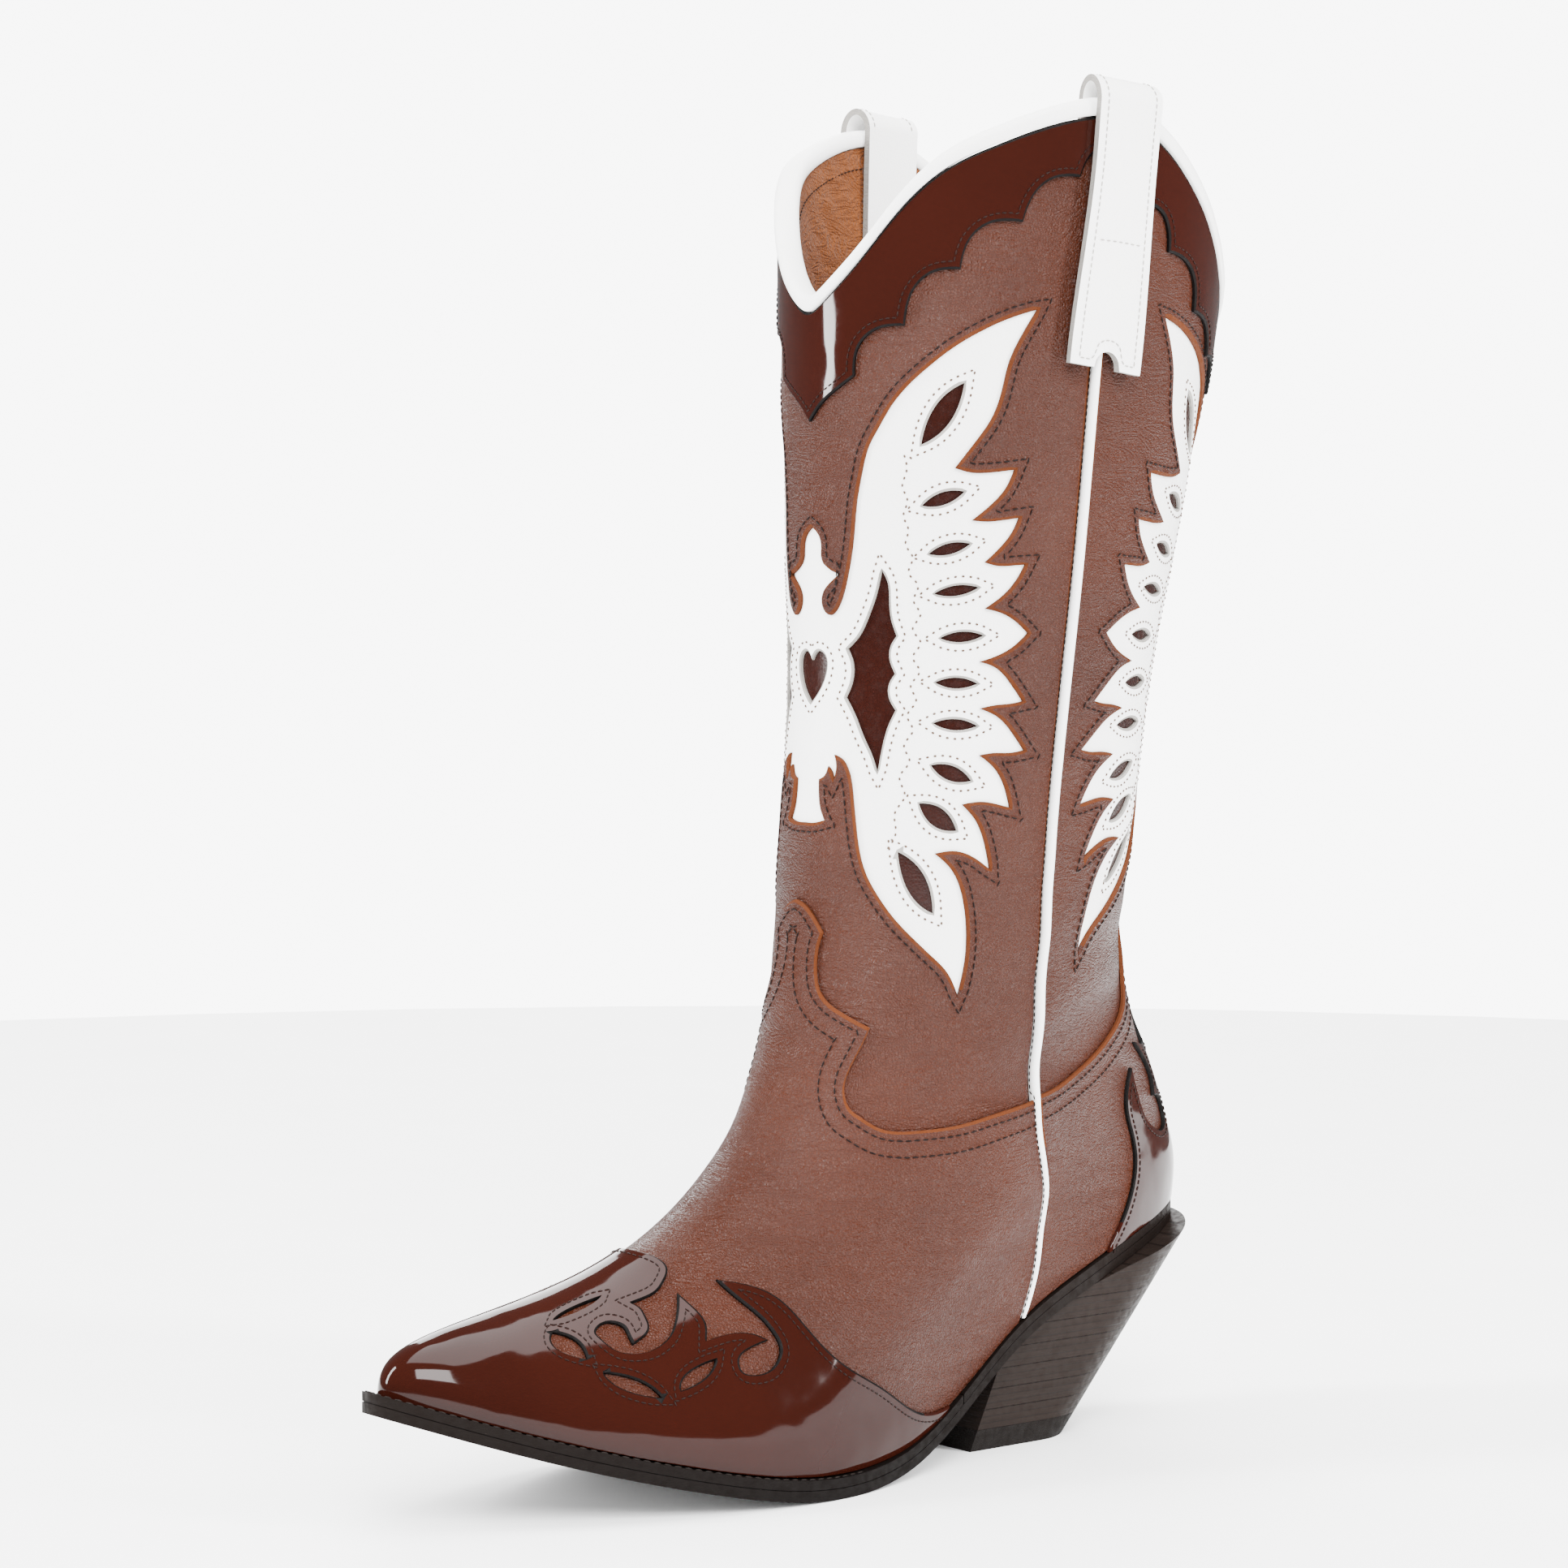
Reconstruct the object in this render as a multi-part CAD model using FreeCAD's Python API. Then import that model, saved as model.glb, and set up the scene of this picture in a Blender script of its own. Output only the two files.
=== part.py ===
"""Tall western boot (left foot) with an inlaid shaft, toe cap, stacked heel and pull straps.

The upper is built from layers of one smooth form.  The form is a closed ring at every level, from
the feather edge (level 0), where the upper meets the sole, to above the topline (level 1).  A place
on it is (turn, level): turn 0 is the front ridge, 0.25 the outer side, 0.5 the back of the heel.
Every upper piece is a sheet between two offsets from the form.  Bottom pieces are an outline prism
trimmed by the side profile of the sole.

Row frame: +X to the toe, +Y to the outer side, +Z up, millimetres.
"""
import FreeCAD, Part
import math
import os

V = FreeCAD.Vector

# ---- driving dimensions (mm) ----------------------------------------------------------------
SEAT_BACK_X = -144.0            # back of the feather edge
TOE_X = 132.0                   # front of the feather edge
TOE_CORNER = 7.0                # how far the welt stands out past the toe
WELT_OUT = 5.5                  # how far the welt stands out round the forepart
SEAT_OUT = 2.6                  # how far the rand stands out round the heel seat
OUTLINE_POINTS = 56             # points of a sole outline
INSET_ENDS = 8.0                # from the feather edge to the insole, at the toe and the back
INSET_SIDES = 5.6               # the same at the sides
WELT_THICK = 2.7
OUTSOLE_THICK = 3.0
GLUE = 0.2                      # glue line between two layers
SEAM_GAP = 1.3                  # from the middle of a side seam to the edge of a panel
PIPING_HALF = 1.0               # half the width of the side piping
STRAP_WIDTH = 21.5
STRAP_THICK = 2.0
BINDING_HEIGHT = 4.5
LOOP_RADIUS = 5.2               # inner radius of a pull strap's standing loop
LOOP_SWING_GAP = 3.0            # room below a loop for its swing
TOP_LIFT = 6.2                  # rubber top lift under the heel
LIFT_COUNT = 7                  # leather lifts in the stacked heel, the topmost a wedge under the sole
LIFT_THICK = 6.0
BREAST_X = -52.0                # front of the heel at the ground
BREAST_SLOPE = -0.3             # forward lean of the breast per mm of height
HEEL_BACK_X = -99.0             # back of the heel at the ground
HEEL_BACK_SLOPE = -0.80
SCREW_X = -96.0                 # heel screw, upright through the seat

# side profile of the feather edge: x, z
SOLE_X = [-160, -144, -115, -85, -62, -40, -20, 0, 25, 60, 100, 132, 150]
SOLE_Z = [70.5, 66, 58.5, 49, 38, 22, 11, 6.7, 6.7, 13, 24, 35, 41.5]

# levels of the form: level, front x, front z, back x, back z, share of the sole curve that the
# ring follows, six half widths from front to back, three side shifts (front, middle, back)
FORM_LEVELS = [
    (0.00, 132, 35, -144, 66, 1.00, 24, 37, 39, 29, 31, 31, -3, 2, 0),
    (0.04, 130, 42, -145, 76, 0.95, 24, 37, 40, 31, 32, 31, -3, 2, 0),
    (0.10, 112, 49, -142, 88, 0.75, 22, 35, 39, 32, 32, 31, -3, 2, 0),
    (0.18, 72, 58, -136, 103, 0.50, 22, 33, 37, 34, 32, 30, -2, 2, 0),
    (0.27, 33, 77, -128, 120, 0.25, 26, 33, 36, 35, 32, 30, -1, 1, 0),
    (0.35, 8, 106, -122, 141, 0.08, 32, 35, 38, 37, 34, 31, 0, 0, 0),
    (0.43, -3, 148, -121, 163, 0.00, 39, 40, 40, 40, 39, 38, 0, 0, 0),
    (0.52, -6, 188, -124.5, 188, 0.00, 43, 43, 43, 43, 43, 43, 0, 0, 0),
    (0.65, -8, 234, -132, 234, 0.00, 46, 46, 46, 46, 46, 46, 0, 0, 0),
    (0.80, -9, 288, -143.5, 288, 0.00, 50, 50, 50, 50, 50, 50, 0, 0, 0),
    (1.00, -8, 400, -164, 400, 0.00, 55, 55, 55, 55, 55, 55, 0, 0, 0),
]
LEVEL_PER_MM = 0.00178          # level change per mm of height near the topline

# outlines on the form: (share of the half panel from its middle to the side seam, level)
TOPLINE_FRONT = [(0, .884), (.12, .898), (.24, .915), (.36, .936), (.5, .955),
                 (.64, .966), (.8, .976), (.94, .981), (1, .981)]
TOPLINE_BACK = [(0, .874), (.19, .882), (.34, .897), (.49, .915), (.62, .936),
                (.75, .956), (.89, .974), (1, .981)]
COLLAR_FRONT = [(0, .828), (.17, .850), (.33, .873), (.50, .898), (.67, .920), (.82, .941), (1, .950)]
COLLAR_BACK = [(0, .828), (.28, .850), (.50, .868), (.66, .892), (.82, .915), (1, .940)]
VAMP_TOP = [(0, .458), (.12, .42), (.24, .398), (.36, .36), (.48, .332), (.60, .319), (.8, .310), (1, .303)]
COUNTER_TOP = [(0, .445), (.17, .385), (.29, .330), (.50, .302), (.65, .295), (.80, .297), (1, .303)]
CAP_TOP = [(0, .200), (.26, .196), (.46, .188), (.60, .176), (.72, .148), (.84, .105), (.95, .055), (1, .03)]
HEEL_OVERLAY_TOP = [(0, .300), (.25, .275), (.5, .245), (.75, .15), (1, .03)]
# where the side seam runs: level, turn
SEAM = [(0, .318), (.06, .321), (.12, .317), (.20, .302), (.27, .282), (.33, .264), (.39, .255),
        (.45, .249), (.58, .241), (.72, .237), (.86, .233), (1, .233)]
INLAY_SPAN = 0.86               # half width of an inlay, as a share of its half panel
INLAY_LOW = 0.395
INLAY_HIGH = 0.885
UPPER_LOW = 0.006               # level of the upper's lower edge, just clear of the welt
STRAP_TURN = 0.236
STRAP_LOW = 0.853


class Curve:
    """Natural cubic spline through (x, row) stations, where a row holds one or more values."""

    def __init__(self, stations):
        self.xs = [float(s[0]) for s in stations]
        self.rows = [[float(c) for c in s[1:]] for s in stations]
        self.bends = self._bends()

    def _bends(self):
        """Second derivatives at the stations, zero at both ends."""
        n = len(self.xs)
        width = len(self.rows[0])
        bends = [[0.0] * width for _ in range(n)]
        step = [self.xs[i + 1] - self.xs[i] for i in range(n - 1)]
        for c in range(width):
            diag = [1.0] * n
            rhs = [0.0] * n
            upper = [0.0] * n
            for i in range(1, n - 1):
                rise = (self.rows[i + 1][c] - self.rows[i][c]) / step[i]
                fall = (self.rows[i][c] - self.rows[i - 1][c]) / step[i - 1]
                diag[i] = 2 * (step[i - 1] + step[i]) - step[i - 1] * upper[i - 1]
                upper[i] = step[i] / diag[i]
                rhs[i] = (6 * (rise - fall) - step[i - 1] * rhs[i - 1]) / diag[i]
            for i in range(n - 2, 0, -1):
                bends[i][c] = rhs[i] - upper[i] * bends[i + 1][c]
        return bends

    def row(self, x):
        """All values at x."""
        i = 0
        while i < len(self.xs) - 2 and x >= self.xs[i + 1]:
            i += 1
        h = self.xs[i + 1] - self.xs[i]
        d = x - self.xs[i]
        out = []
        for c in range(len(self.rows[0])):
            lo, hi = self.bends[i][c], self.bends[i + 1][c]
            slope = (self.rows[i + 1][c] - self.rows[i][c]) / h - h * (2 * lo + hi) / 6
            out.append(self.rows[i][c] + d * (slope + d * (lo / 2 + d * (hi - lo) / (6 * h))))
        return out

    def __call__(self, x):
        return self.row(x)[0]


form = Curve(FORM_LEVELS)
sole_z = Curve(list(zip(SOLE_X, SOLE_Z)))
seam_turn = Curve(SEAM)
HALF_STATIONS = [0, .2, .4, .6, .8, 1]
WIDTH_SHARES = Curve([(s,) + tuple(float(s == t) for t in HALF_STATIONS) for s in HALF_STATIONS])
SHIFT_SHARES = Curve([(s,) + tuple(float(s == t) for t in (0, .5, 1)) for s in (0, .5, 1)])


def on_form(turn, level):
    """Point of the form: an oval ring that leans and follows the sole as its level says."""
    row = form.row(level)
    s = (1 - math.cos(2 * math.pi * turn)) / 2
    half = sum(a * b for a, b in zip(WIDTH_SHARES.row(s), row[5:11]))
    shift = sum(a * b for a, b in zip(SHIFT_SHARES.row(s), row[11:14]))
    sole_x = TOE_X + (SEAT_BACK_X - TOE_X) * s
    sole_line = FORM_LEVELS[0][2] + (FORM_LEVELS[0][4] - FORM_LEVELS[0][2]) * s
    z = row[1] + (row[3] - row[1]) * s + row[4] * (sole_z(sole_x) - sole_line)
    return V(row[0] + (row[2] - row[0]) * s, shift + half * math.sin(2 * math.pi * turn), z)


def off_form(turn, level, out):
    """Point at a distance outside the form, measured along its normal."""
    e = 1e-3
    around = on_form(turn + e, level) - on_form(turn - e, level)
    up = on_form(turn, level + e) - on_form(turn, level - e)
    normal = around.cross(up)
    normal.normalize()
    return on_form(turn, level) + normal * out


def front_turn(share, level):
    """Turn of a place on a front panel, from -1 at the inner seam to 1 at the outer seam."""
    return share * seam_turn(level)


def back_turn(share, level):
    """Turn of a place on a back panel, from -1 at the outer seam to 1 at the inner seam."""
    return 0.5 + share * (0.5 - seam_turn(level))


def sheet(turn_at, low, high, span, inner, outer, across=41, along=17):
    """Closed sheet between two offsets: its outline is low(share) to high(share), share in +-span."""
    shares = [span * (2 * i / (across - 1) - 1) for i in range(across)]
    skins = []
    for out in (outer, inner):
        grid = []
        for share in shares:
            bottom, top = low(abs(share)), high(abs(share))
            levels = [bottom + (top - bottom) * j / (along - 1) for j in range(along)]
            grid.append([off_form(turn_at(share, level), level, out) for level in levels])
        surface = Part.BSplineSurface()
        surface.interpolate(grid)
        skins.append(surface)
    return close_sheet(*skins)


def close_sheet(outer, inner):
    """Solid between two skins of the same grid, closed by four ruled edges."""
    faces = [outer.toShape(), inner.toShape()]
    u0, u1, v0, v1 = outer.bounds()
    p0, p1, q0, q1 = inner.bounds()
    borders = [
        (outer.uIso(u0), inner.uIso(p0)),
        (outer.uIso(u1), inner.uIso(p1)),
        (outer.vIso(v0), inner.vIso(q0)),
        (outer.vIso(v1), inner.vIso(q1)),
    ]
    faces += [Part.makeRuledSurface(a.toShape(), b.toShape()) for a, b in borders]
    shell = Part.Shell(faces)
    shell.sewShape()
    solid = Part.Solid(shell)
    if solid.Volume < 0:
        solid.reverse()
    return solid


def level_line(points, drop=0.0):
    """Outline as a function of share, lowered by drop in level."""
    curve = Curve(points)
    return lambda share: curve(min(share, points[-1][0])) - drop


def flat(level):
    """Outline at one level."""
    return lambda share: level


def panel_span():
    """Share at which a panel stops beside its side seam."""
    return 1 - SEAM_GAP / 88.0


# ---- bottom pieces ---------------------------------------------------------------------------
def outline_point(turn, out):
    """Point at a distance outside the feather edge, in plan."""
    e = 1e-3
    here = on_form(turn, 0)
    along = on_form(turn + e, 0) - on_form(turn - e, 0)
    side = V(along.y, -along.x, 0)
    side.normalize()
    return V(here.x, here.y, 0) + side * out


def overhang(turn, forepart, seat, toe):
    """How far an edge stands out: a smooth blend of toe, forepart and heel seat."""
    s = (1 - math.cos(2 * math.pi * turn)) / 2
    to_seat = min(1.0, max(0.0, (s - 0.45) / 0.2))
    to_toe = max(0.0, 1 - s / 0.02)
    return forepart + (seat - forepart) * to_seat + (toe - forepart) * to_toe


def prism(points):
    """Upright prism on a closed smooth outline."""
    curve = Part.BSplineCurve()
    curve.interpolate(points, PeriodicFlag=True)
    face = Part.Face(Part.Wire(curve.toShape()))
    face.translate(V(0, 0, -10))
    return face.extrude(V(0, 0, 110))


def welted_outline():
    """Outline of the sole: the feather edge with the welt and rand standing out round it."""
    turns = [i / OUTLINE_POINTS for i in range(OUTLINE_POINTS)]
    return [outline_point(turn, overhang(turn, WELT_OUT, SEAT_OUT, TOE_CORNER)) for turn in turns]


def inner_outline(clear):
    """Outline inside the upper: the feather edge drawn in lengthwise and across."""
    middle = (TOE_X + SEAT_BACK_X) / 2
    shrink_x = 1 - (INSET_ENDS - clear) / (TOE_X - middle)
    shrink_y = 1 - (INSET_SIDES - clear) / 36.0
    feather = [on_form(i / OUTLINE_POINTS, 0) for i in range(OUTLINE_POINTS)]
    return [V(middle + (p.x - middle) * shrink_x, p.y * shrink_y, 0) for p in feather]


def layer(bottom, top):
    """Slab that follows the side profile of the sole, from bottom to top above the feather edge."""
    steps = 30
    x_low, x_high = -168.0, 158.0
    xs = [x_low + (x_high - x_low) * i / steps for i in range(steps + 1)]
    lines = []
    for rise in (bottom, top):
        curve = Part.BSplineCurve()
        curve.interpolate([V(x, -80, sole_z(x) + rise) for x in xs])
        lines.append(curve.toShape())
    front = Part.makeLine(V(x_high, -80, sole_z(x_high) + bottom), V(x_high, -80, sole_z(x_high) + top))
    back = Part.makeLine(V(x_low, -80, sole_z(x_low) + bottom), V(x_low, -80, sole_z(x_low) + top))
    wire = Part.Wire(Part.__sortEdges__([lines[0], front, lines[1], back]))
    return Part.Face(wire).extrude(V(0, 160, 0))


def stretch(x_low, x_high):
    """Room between two places along the boot."""
    return Part.makeBox(x_high - x_low, 160, 200, V(x_low, -80, -20))


def single(shape):
    """The largest solid of a shape."""
    return max(shape.Solids, key=lambda s: s.Volume)


def heel_section(z, grow=0.0):
    """D-shaped outline of the heel at a height: straight breast, parallel sides, round back."""
    half = 20.0 + 0.17 * z + grow
    front = BREAST_X + BREAST_SLOPE * z + grow
    centre = HEEL_BACK_X + HEEL_BACK_SLOPE * z + half - grow
    a, b = V(front, -half, z), V(front, half, z)
    c, d = V(centre, half, z), V(centre, -half, z)
    edges = [
        Part.makeLine(a, b),
        Part.makeLine(b, c),
        Part.Arc(c, V(centre - half, 0, z), d).toShape(),
        Part.makeLine(d, a),
    ]
    return Part.Wire(edges)


def fastener_places():
    """Upright fasteners of the heel seat: the screw in the middle and four nails round it."""
    nails = [(SCREW_X + dx, dy) for dx in (-14, 14) for dy in (-11, 11)]
    return (SCREW_X, 0.0), nails


def upright(x, y, radius, low, high):
    """Round bar standing at (x, y)."""
    return Part.makeCylinder(radius, high - low, V(x, y, low), V(0, 0, 1))


def seat_bores():
    """Bores for the heel's screw and nails."""
    (sx, sy), nails = fastener_places()
    bores = [upright(sx, sy, 2.1, 10, 80)]
    bores += [upright(x, y, 1.1, 22, 80) for x, y in nails]
    return Part.makeCompound(bores)


# ---- the pieces ------------------------------------------------------------------------------
def shaft_panels():
    """Outer leather of the shaft: a front and a back panel that meet at the side seams."""
    hem = BINDING_HEIGHT * LEVEL_PER_MM + 0.0008
    tuck = 0.035
    return {
        "shaft_front_panel": sheet(front_turn, level_line(VAMP_TOP, tuck), level_line(TOPLINE_FRONT, hem),
                                   panel_span(), -1.2, 0.0),
        "shaft_back_panel": sheet(back_turn, level_line(COUNTER_TOP, tuck), level_line(TOPLINE_BACK, hem),
                                  panel_span(), -1.2, 0.0),
    }


def inlays():
    """White inlay sheets behind the cut-outs of both panels, and the dark sheets behind those."""
    pieces = {}
    for side, turn_at in (("front", front_turn), ("back", back_turn)):
        low, high = flat(INLAY_LOW), level_line([(0, .80), (.4, .85), (.86, INLAY_HIGH)])
        pieces["wing_inlay_" + side] = sheet(turn_at, low, high, INLAY_SPAN, -2.3, -1.2 - GLUE)
        pieces["inlay_backing_" + side] = sheet(turn_at, low, high, INLAY_SPAN, -3.3, -2.3 - GLUE)
    return pieces


def shaft_linings():
    """Lining leather inside the shaft, in two halves."""
    hem = BINDING_HEIGHT * LEVEL_PER_MM + 0.0008
    return {
        "shaft_lining_front": sheet(front_turn, level_line(VAMP_TOP, 0.0), level_line(TOPLINE_FRONT, hem),
                                    0.997, -4.5, -3.5),
        "shaft_lining_back": sheet(back_turn, level_line(COUNTER_TOP, 0.0), level_line(TOPLINE_BACK, hem),
                                   0.997, -4.5, -3.5),
    }


def collars():
    """Patent collar over the top of both panels."""
    hem = BINDING_HEIGHT * LEVEL_PER_MM + 0.0008
    return {
        "collar_front": sheet(front_turn, level_line(COLLAR_FRONT), level_line(TOPLINE_FRONT, hem),
                              panel_span(), GLUE, 1.3, along=9),
        "collar_back": sheet(back_turn, level_line(COLLAR_BACK), level_line(TOPLINE_BACK, hem),
                             panel_span(), GLUE, 1.3, along=9),
    }


def bindings():
    """White binding that closes the topline over every layer of the shaft."""
    drop = BINDING_HEIGHT * LEVEL_PER_MM
    return {
        "topline_binding_front": sheet(front_turn, level_line(TOPLINE_FRONT, drop),
                                       level_line(TOPLINE_FRONT), 0.998, -4.9, 1.8, along=5),
        "topline_binding_back": sheet(back_turn, level_line(TOPLINE_BACK, drop),
                                      level_line(TOPLINE_BACK), 0.998, -4.9, 1.8, along=5),
    }


def side_piping():
    """Piping that fills both side seams, from the welt to the foot of the pull strap."""
    pieces = {}
    for side, sign in (("outer", 1), ("inner", -1)):
        grids = []
        for out in (1.9, -1.2):
            rows = []
            for across in (-1, -0.33, 0.33, 1):
                rows.append([])
                for i in range(37):
                    level = 0.004 + (STRAP_LOW - 0.008) * i / 36
                    here = sign * seam_turn(level)
                    girth = (on_form(here + 1e-3, level) - on_form(here - 1e-3, level)).Length / 2e-3
                    rows[-1].append(off_form(here + across * PIPING_HALF / girth, level, out))
            surface = Part.BSplineSurface()
            surface.interpolate(rows)
            grids.append(surface)
        pieces["side_piping_" + side] = close_sheet(*grids)
    return pieces


def foot_upper():
    """Vamp and heel cover, with the patent toe cap and heel overlay on them."""
    return {
        "vamp": sheet(front_turn, flat(UPPER_LOW), level_line(VAMP_TOP), panel_span(), GLUE, 1.5, along=23),
        "heel_cover": sheet(back_turn, flat(UPPER_LOW), level_line(COUNTER_TOP), panel_span(), GLUE, 1.5, along=21),
        "toe_cap": sheet(front_turn, flat(UPPER_LOW), level_line(CAP_TOP), 0.96, 1.5 + GLUE, 2.8),
        "heel_overlay": sheet(lambda share, level: back_turn(share * 0.66, level), flat(UPPER_LOW),
                              level_line(HEEL_OVERLAY_TOP), 0.96, 1.5 + GLUE, 2.8, across=25),
    }


def foot_inner():
    """Stiffeners between the foot's outer leather and its lining, and the lining itself."""
    return {
        "toe_puff": sheet(front_turn, flat(UPPER_LOW), level_line([(0, .19), (.5, .17), (.8, .12), (.9, .06)]),
                          0.85, -0.8, 0.0),
        "counter_stiffener": sheet(back_turn, flat(UPPER_LOW), level_line([(0, .26), (.5, .24), (.9, .16)]),
                                   0.85, -1.4, 0.0),
        "vamp_lining": sheet(front_turn, flat(UPPER_LOW), level_line(VAMP_TOP, 0.068), 0.985, -2.0, -1.0, along=21),
        "heel_lining": sheet(back_turn, flat(UPPER_LOW), level_line(COUNTER_TOP, 0.058), 0.985, -2.6, -1.6),
    }


def pull_straps():
    """Two pull straps: sewn legs outside and inside the shaft, and a loop standing over the rim."""
    pieces = {}
    for side, sign in (("outer", 1), ("inner", -1)):
        rim = on_form(sign * STRAP_TURN, level_line(TOPLINE_FRONT)(1))
        across = (on_form(sign * STRAP_TURN + 1e-3, 0.98) - on_form(sign * STRAP_TURN - 1e-3, 0.98)) * sign
        half_turn = STRAP_WIDTH / 2 / (across.Length / 2e-3)
        middle = V(rim.x, rim.y - sign * 1.55, rim.z + 0.6)
        loop_low = (middle.z - LOOP_SWING_GAP - 400) / 560 + 1.0
        legs = []
        for inner, outer, low in ((2.0, 4.0, STRAP_LOW), (-7.1, -5.1, STRAP_LOW + 0.03)):
            legs.append(sheet(lambda share, level: sign * (STRAP_TURN + share * half_turn),
                              flat(low), flat(loop_low), 1.0, inner, outer, across=9))
        pieces["pull_strap_" + side] = Part.makeCompound(legs)
        pieces["pull_loop_" + side] = strap_loop(middle)
    return pieces


def strap_loop(middle):
    """Half ring over the rim, as wide as the strap; its centre line is the swing axis."""
    start = middle - V(STRAP_WIDTH / 2, 0, 0)
    along = V(1, 0, 0)
    ring = Part.makeCylinder(LOOP_RADIUS + STRAP_THICK, STRAP_WIDTH, start, along)
    ring = ring.cut(Part.makeCylinder(LOOP_RADIUS, STRAP_WIDTH, start, along))
    lower = Part.makeBox(STRAP_WIDTH + 2, 20, 10, start - V(1, 10, 10))
    return single(ring.cut(lower))


def bottom_layers():
    """Insole, sock, filler, shank, welt, rand and outsole, from the foot down to the ground."""
    whole = prism(welted_outline())
    inside = prism(inner_outline(0.0))
    ring_hole = prism(inner_outline(0.4))
    under_welt = -GLUE - WELT_THICK
    welt_layer = whole.cut(ring_hole)
    bores = seat_bores()
    shank = Part.makeBox(86, 13, 60, V(-112, -6.5, 0)).common(layer(under_welt, under_welt + 1.6))
    welting = welt_layer.common(layer(under_welt, -GLUE))
    filler = inside.common(layer(under_welt, -1.1)).common(stretch(-22, 150))
    outsole = whole.common(layer(under_welt - GLUE - OUTSOLE_THICK, under_welt - GLUE))
    return {
        "sock_liner": single(inside.common(layer(1.2, 2.2))),
        "insole_board": single(inside.common(layer(-0.9, 1.0)).cut(bores)),
        "cork_filler": single(filler),
        "shank": single(shank.cut(bores)),
        "welt": single(welting.common(stretch(-38, 160))),
        "heel_rand": single(welting.common(stretch(-170, -38.4))),
        "outsole": single(outsole.cut(bores)),
    }


def heel():
    """Stacked heel: leather lifts trimmed under the sole, a rubber top lift, a screw and nails."""
    body = Part.makeLoft([heel_section(z) for z in (0, 36, 76)], True, False)
    under_sole = -2 * GLUE - WELT_THICK - OUTSOLE_THICK - GLUE
    room = Part.makeBox(140, 90, 90, V(-180, -45, 0))
    body = single(body.common(room).common(layer(-90, under_sole)))
    bores = seat_bores()
    lifts = []
    for i in range(LIFT_COUNT):
        low = TOP_LIFT + 0.1 + i * LIFT_THICK
        tall = LIFT_THICK - 0.1 if i < LIFT_COUNT - 1 else 60
        slab = Part.makeBox(140, 90, tall, V(-180, -45, low))
        lifts += body.common(slab).cut(bores).Solids
    (sx, sy), nails = fastener_places()
    seat = sole_z(SCREW_X)
    return {
        "heel_lifts": Part.makeCompound(lifts),
        "top_lift": single(body.common(Part.makeBox(140, 90, TOP_LIFT, V(-180, -45, 0)))),
        "heel_screw": upright(sx, sy, 2.0, 12, seat - 1.2),
        "heel_nails": Part.makeCompound([upright(x, y, 1.0, 24, sole_z(x) - 1.2) for x, y in nails]),
    }


def extent(shapes):
    """Lowest and highest corner of a set of shapes, from their surface points."""
    points = [p for shape in shapes for p in shape.tessellate(0.1)[0]]
    low = V(min(p.x for p in points), min(p.y for p in points), min(p.z for p in points))
    high = V(max(p.x for p in points), max(p.y for p in points), max(p.z for p in points))
    return low, high


def main():
    """Build every piece, centre the boot over its footprint and write one STEP per piece."""
    os.makedirs("parts", exist_ok=True)
    pieces = {}
    builders = (shaft_panels, inlays, shaft_linings, collars, bindings, side_piping, foot_upper,
                foot_inner, pull_straps, bottom_layers, heel)
    for builder in builders:
        pieces.update(builder())
    low, high = extent(pieces.values())
    move = V(-(low.x + high.x) / 2, -(low.y + high.y) / 2, -low.z)
    print("shift to the footprint's centre", move, "size", high - low)
    for name, shape in pieces.items():
        shape.translate(move)
        print(f"{name:22s} valid {shape.isValid()} solids {len(shape.Solids)} volume {shape.Volume:.0f}")
        shape.exportStep(f"parts/{name}.step")


main()
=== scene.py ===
"""A leather cowboy boot with inlaid wings, patent trims and a stacked heel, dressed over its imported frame."""

import logging
import math
from dataclasses import dataclass, field
from enum import Enum

import bpy
import numpy as np
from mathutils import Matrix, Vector
from mathutils.geometry import delaunay_2d_cdt

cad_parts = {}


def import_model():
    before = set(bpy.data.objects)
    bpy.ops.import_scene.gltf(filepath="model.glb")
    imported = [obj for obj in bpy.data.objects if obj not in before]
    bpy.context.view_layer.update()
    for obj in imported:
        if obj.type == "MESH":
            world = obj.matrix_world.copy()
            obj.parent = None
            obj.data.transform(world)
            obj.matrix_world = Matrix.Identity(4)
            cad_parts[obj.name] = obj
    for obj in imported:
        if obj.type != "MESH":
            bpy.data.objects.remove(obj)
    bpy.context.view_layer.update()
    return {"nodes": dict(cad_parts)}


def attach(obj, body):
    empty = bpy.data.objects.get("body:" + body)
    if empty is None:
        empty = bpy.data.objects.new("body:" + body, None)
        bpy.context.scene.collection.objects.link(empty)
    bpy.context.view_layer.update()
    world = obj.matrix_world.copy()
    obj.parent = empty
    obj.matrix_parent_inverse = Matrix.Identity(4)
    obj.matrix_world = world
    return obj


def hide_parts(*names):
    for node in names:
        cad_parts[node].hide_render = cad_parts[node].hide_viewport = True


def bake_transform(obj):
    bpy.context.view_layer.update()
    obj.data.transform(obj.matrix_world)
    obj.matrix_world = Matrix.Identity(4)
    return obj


log = logging.getLogger("boot")

MM = 0.001
COAT_ROUGHNESS = 0.3  # of the clear coat, where a leather has one
FOOTPRINT_SHIFT = 6.683  # from the last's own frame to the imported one, along the boot
SHAFT_CHART = np.array([360.0, 370.0])  # mm per unit of turn and of level, on the shaft
FOOT_CHART = np.array([620.0, 400.0])  # the same on the foot
LEVEL_PER_MM = 0.00178
HEM = 0.0088  # level from the topline down to the edge of the layers under the binding


class Half(Enum):
    """The two halves of the shaft: turn of the middle, and the way towards the outer seam."""

    FRONT = (0.0, 1.0)
    BACK = (0.5, -1.0)


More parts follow.
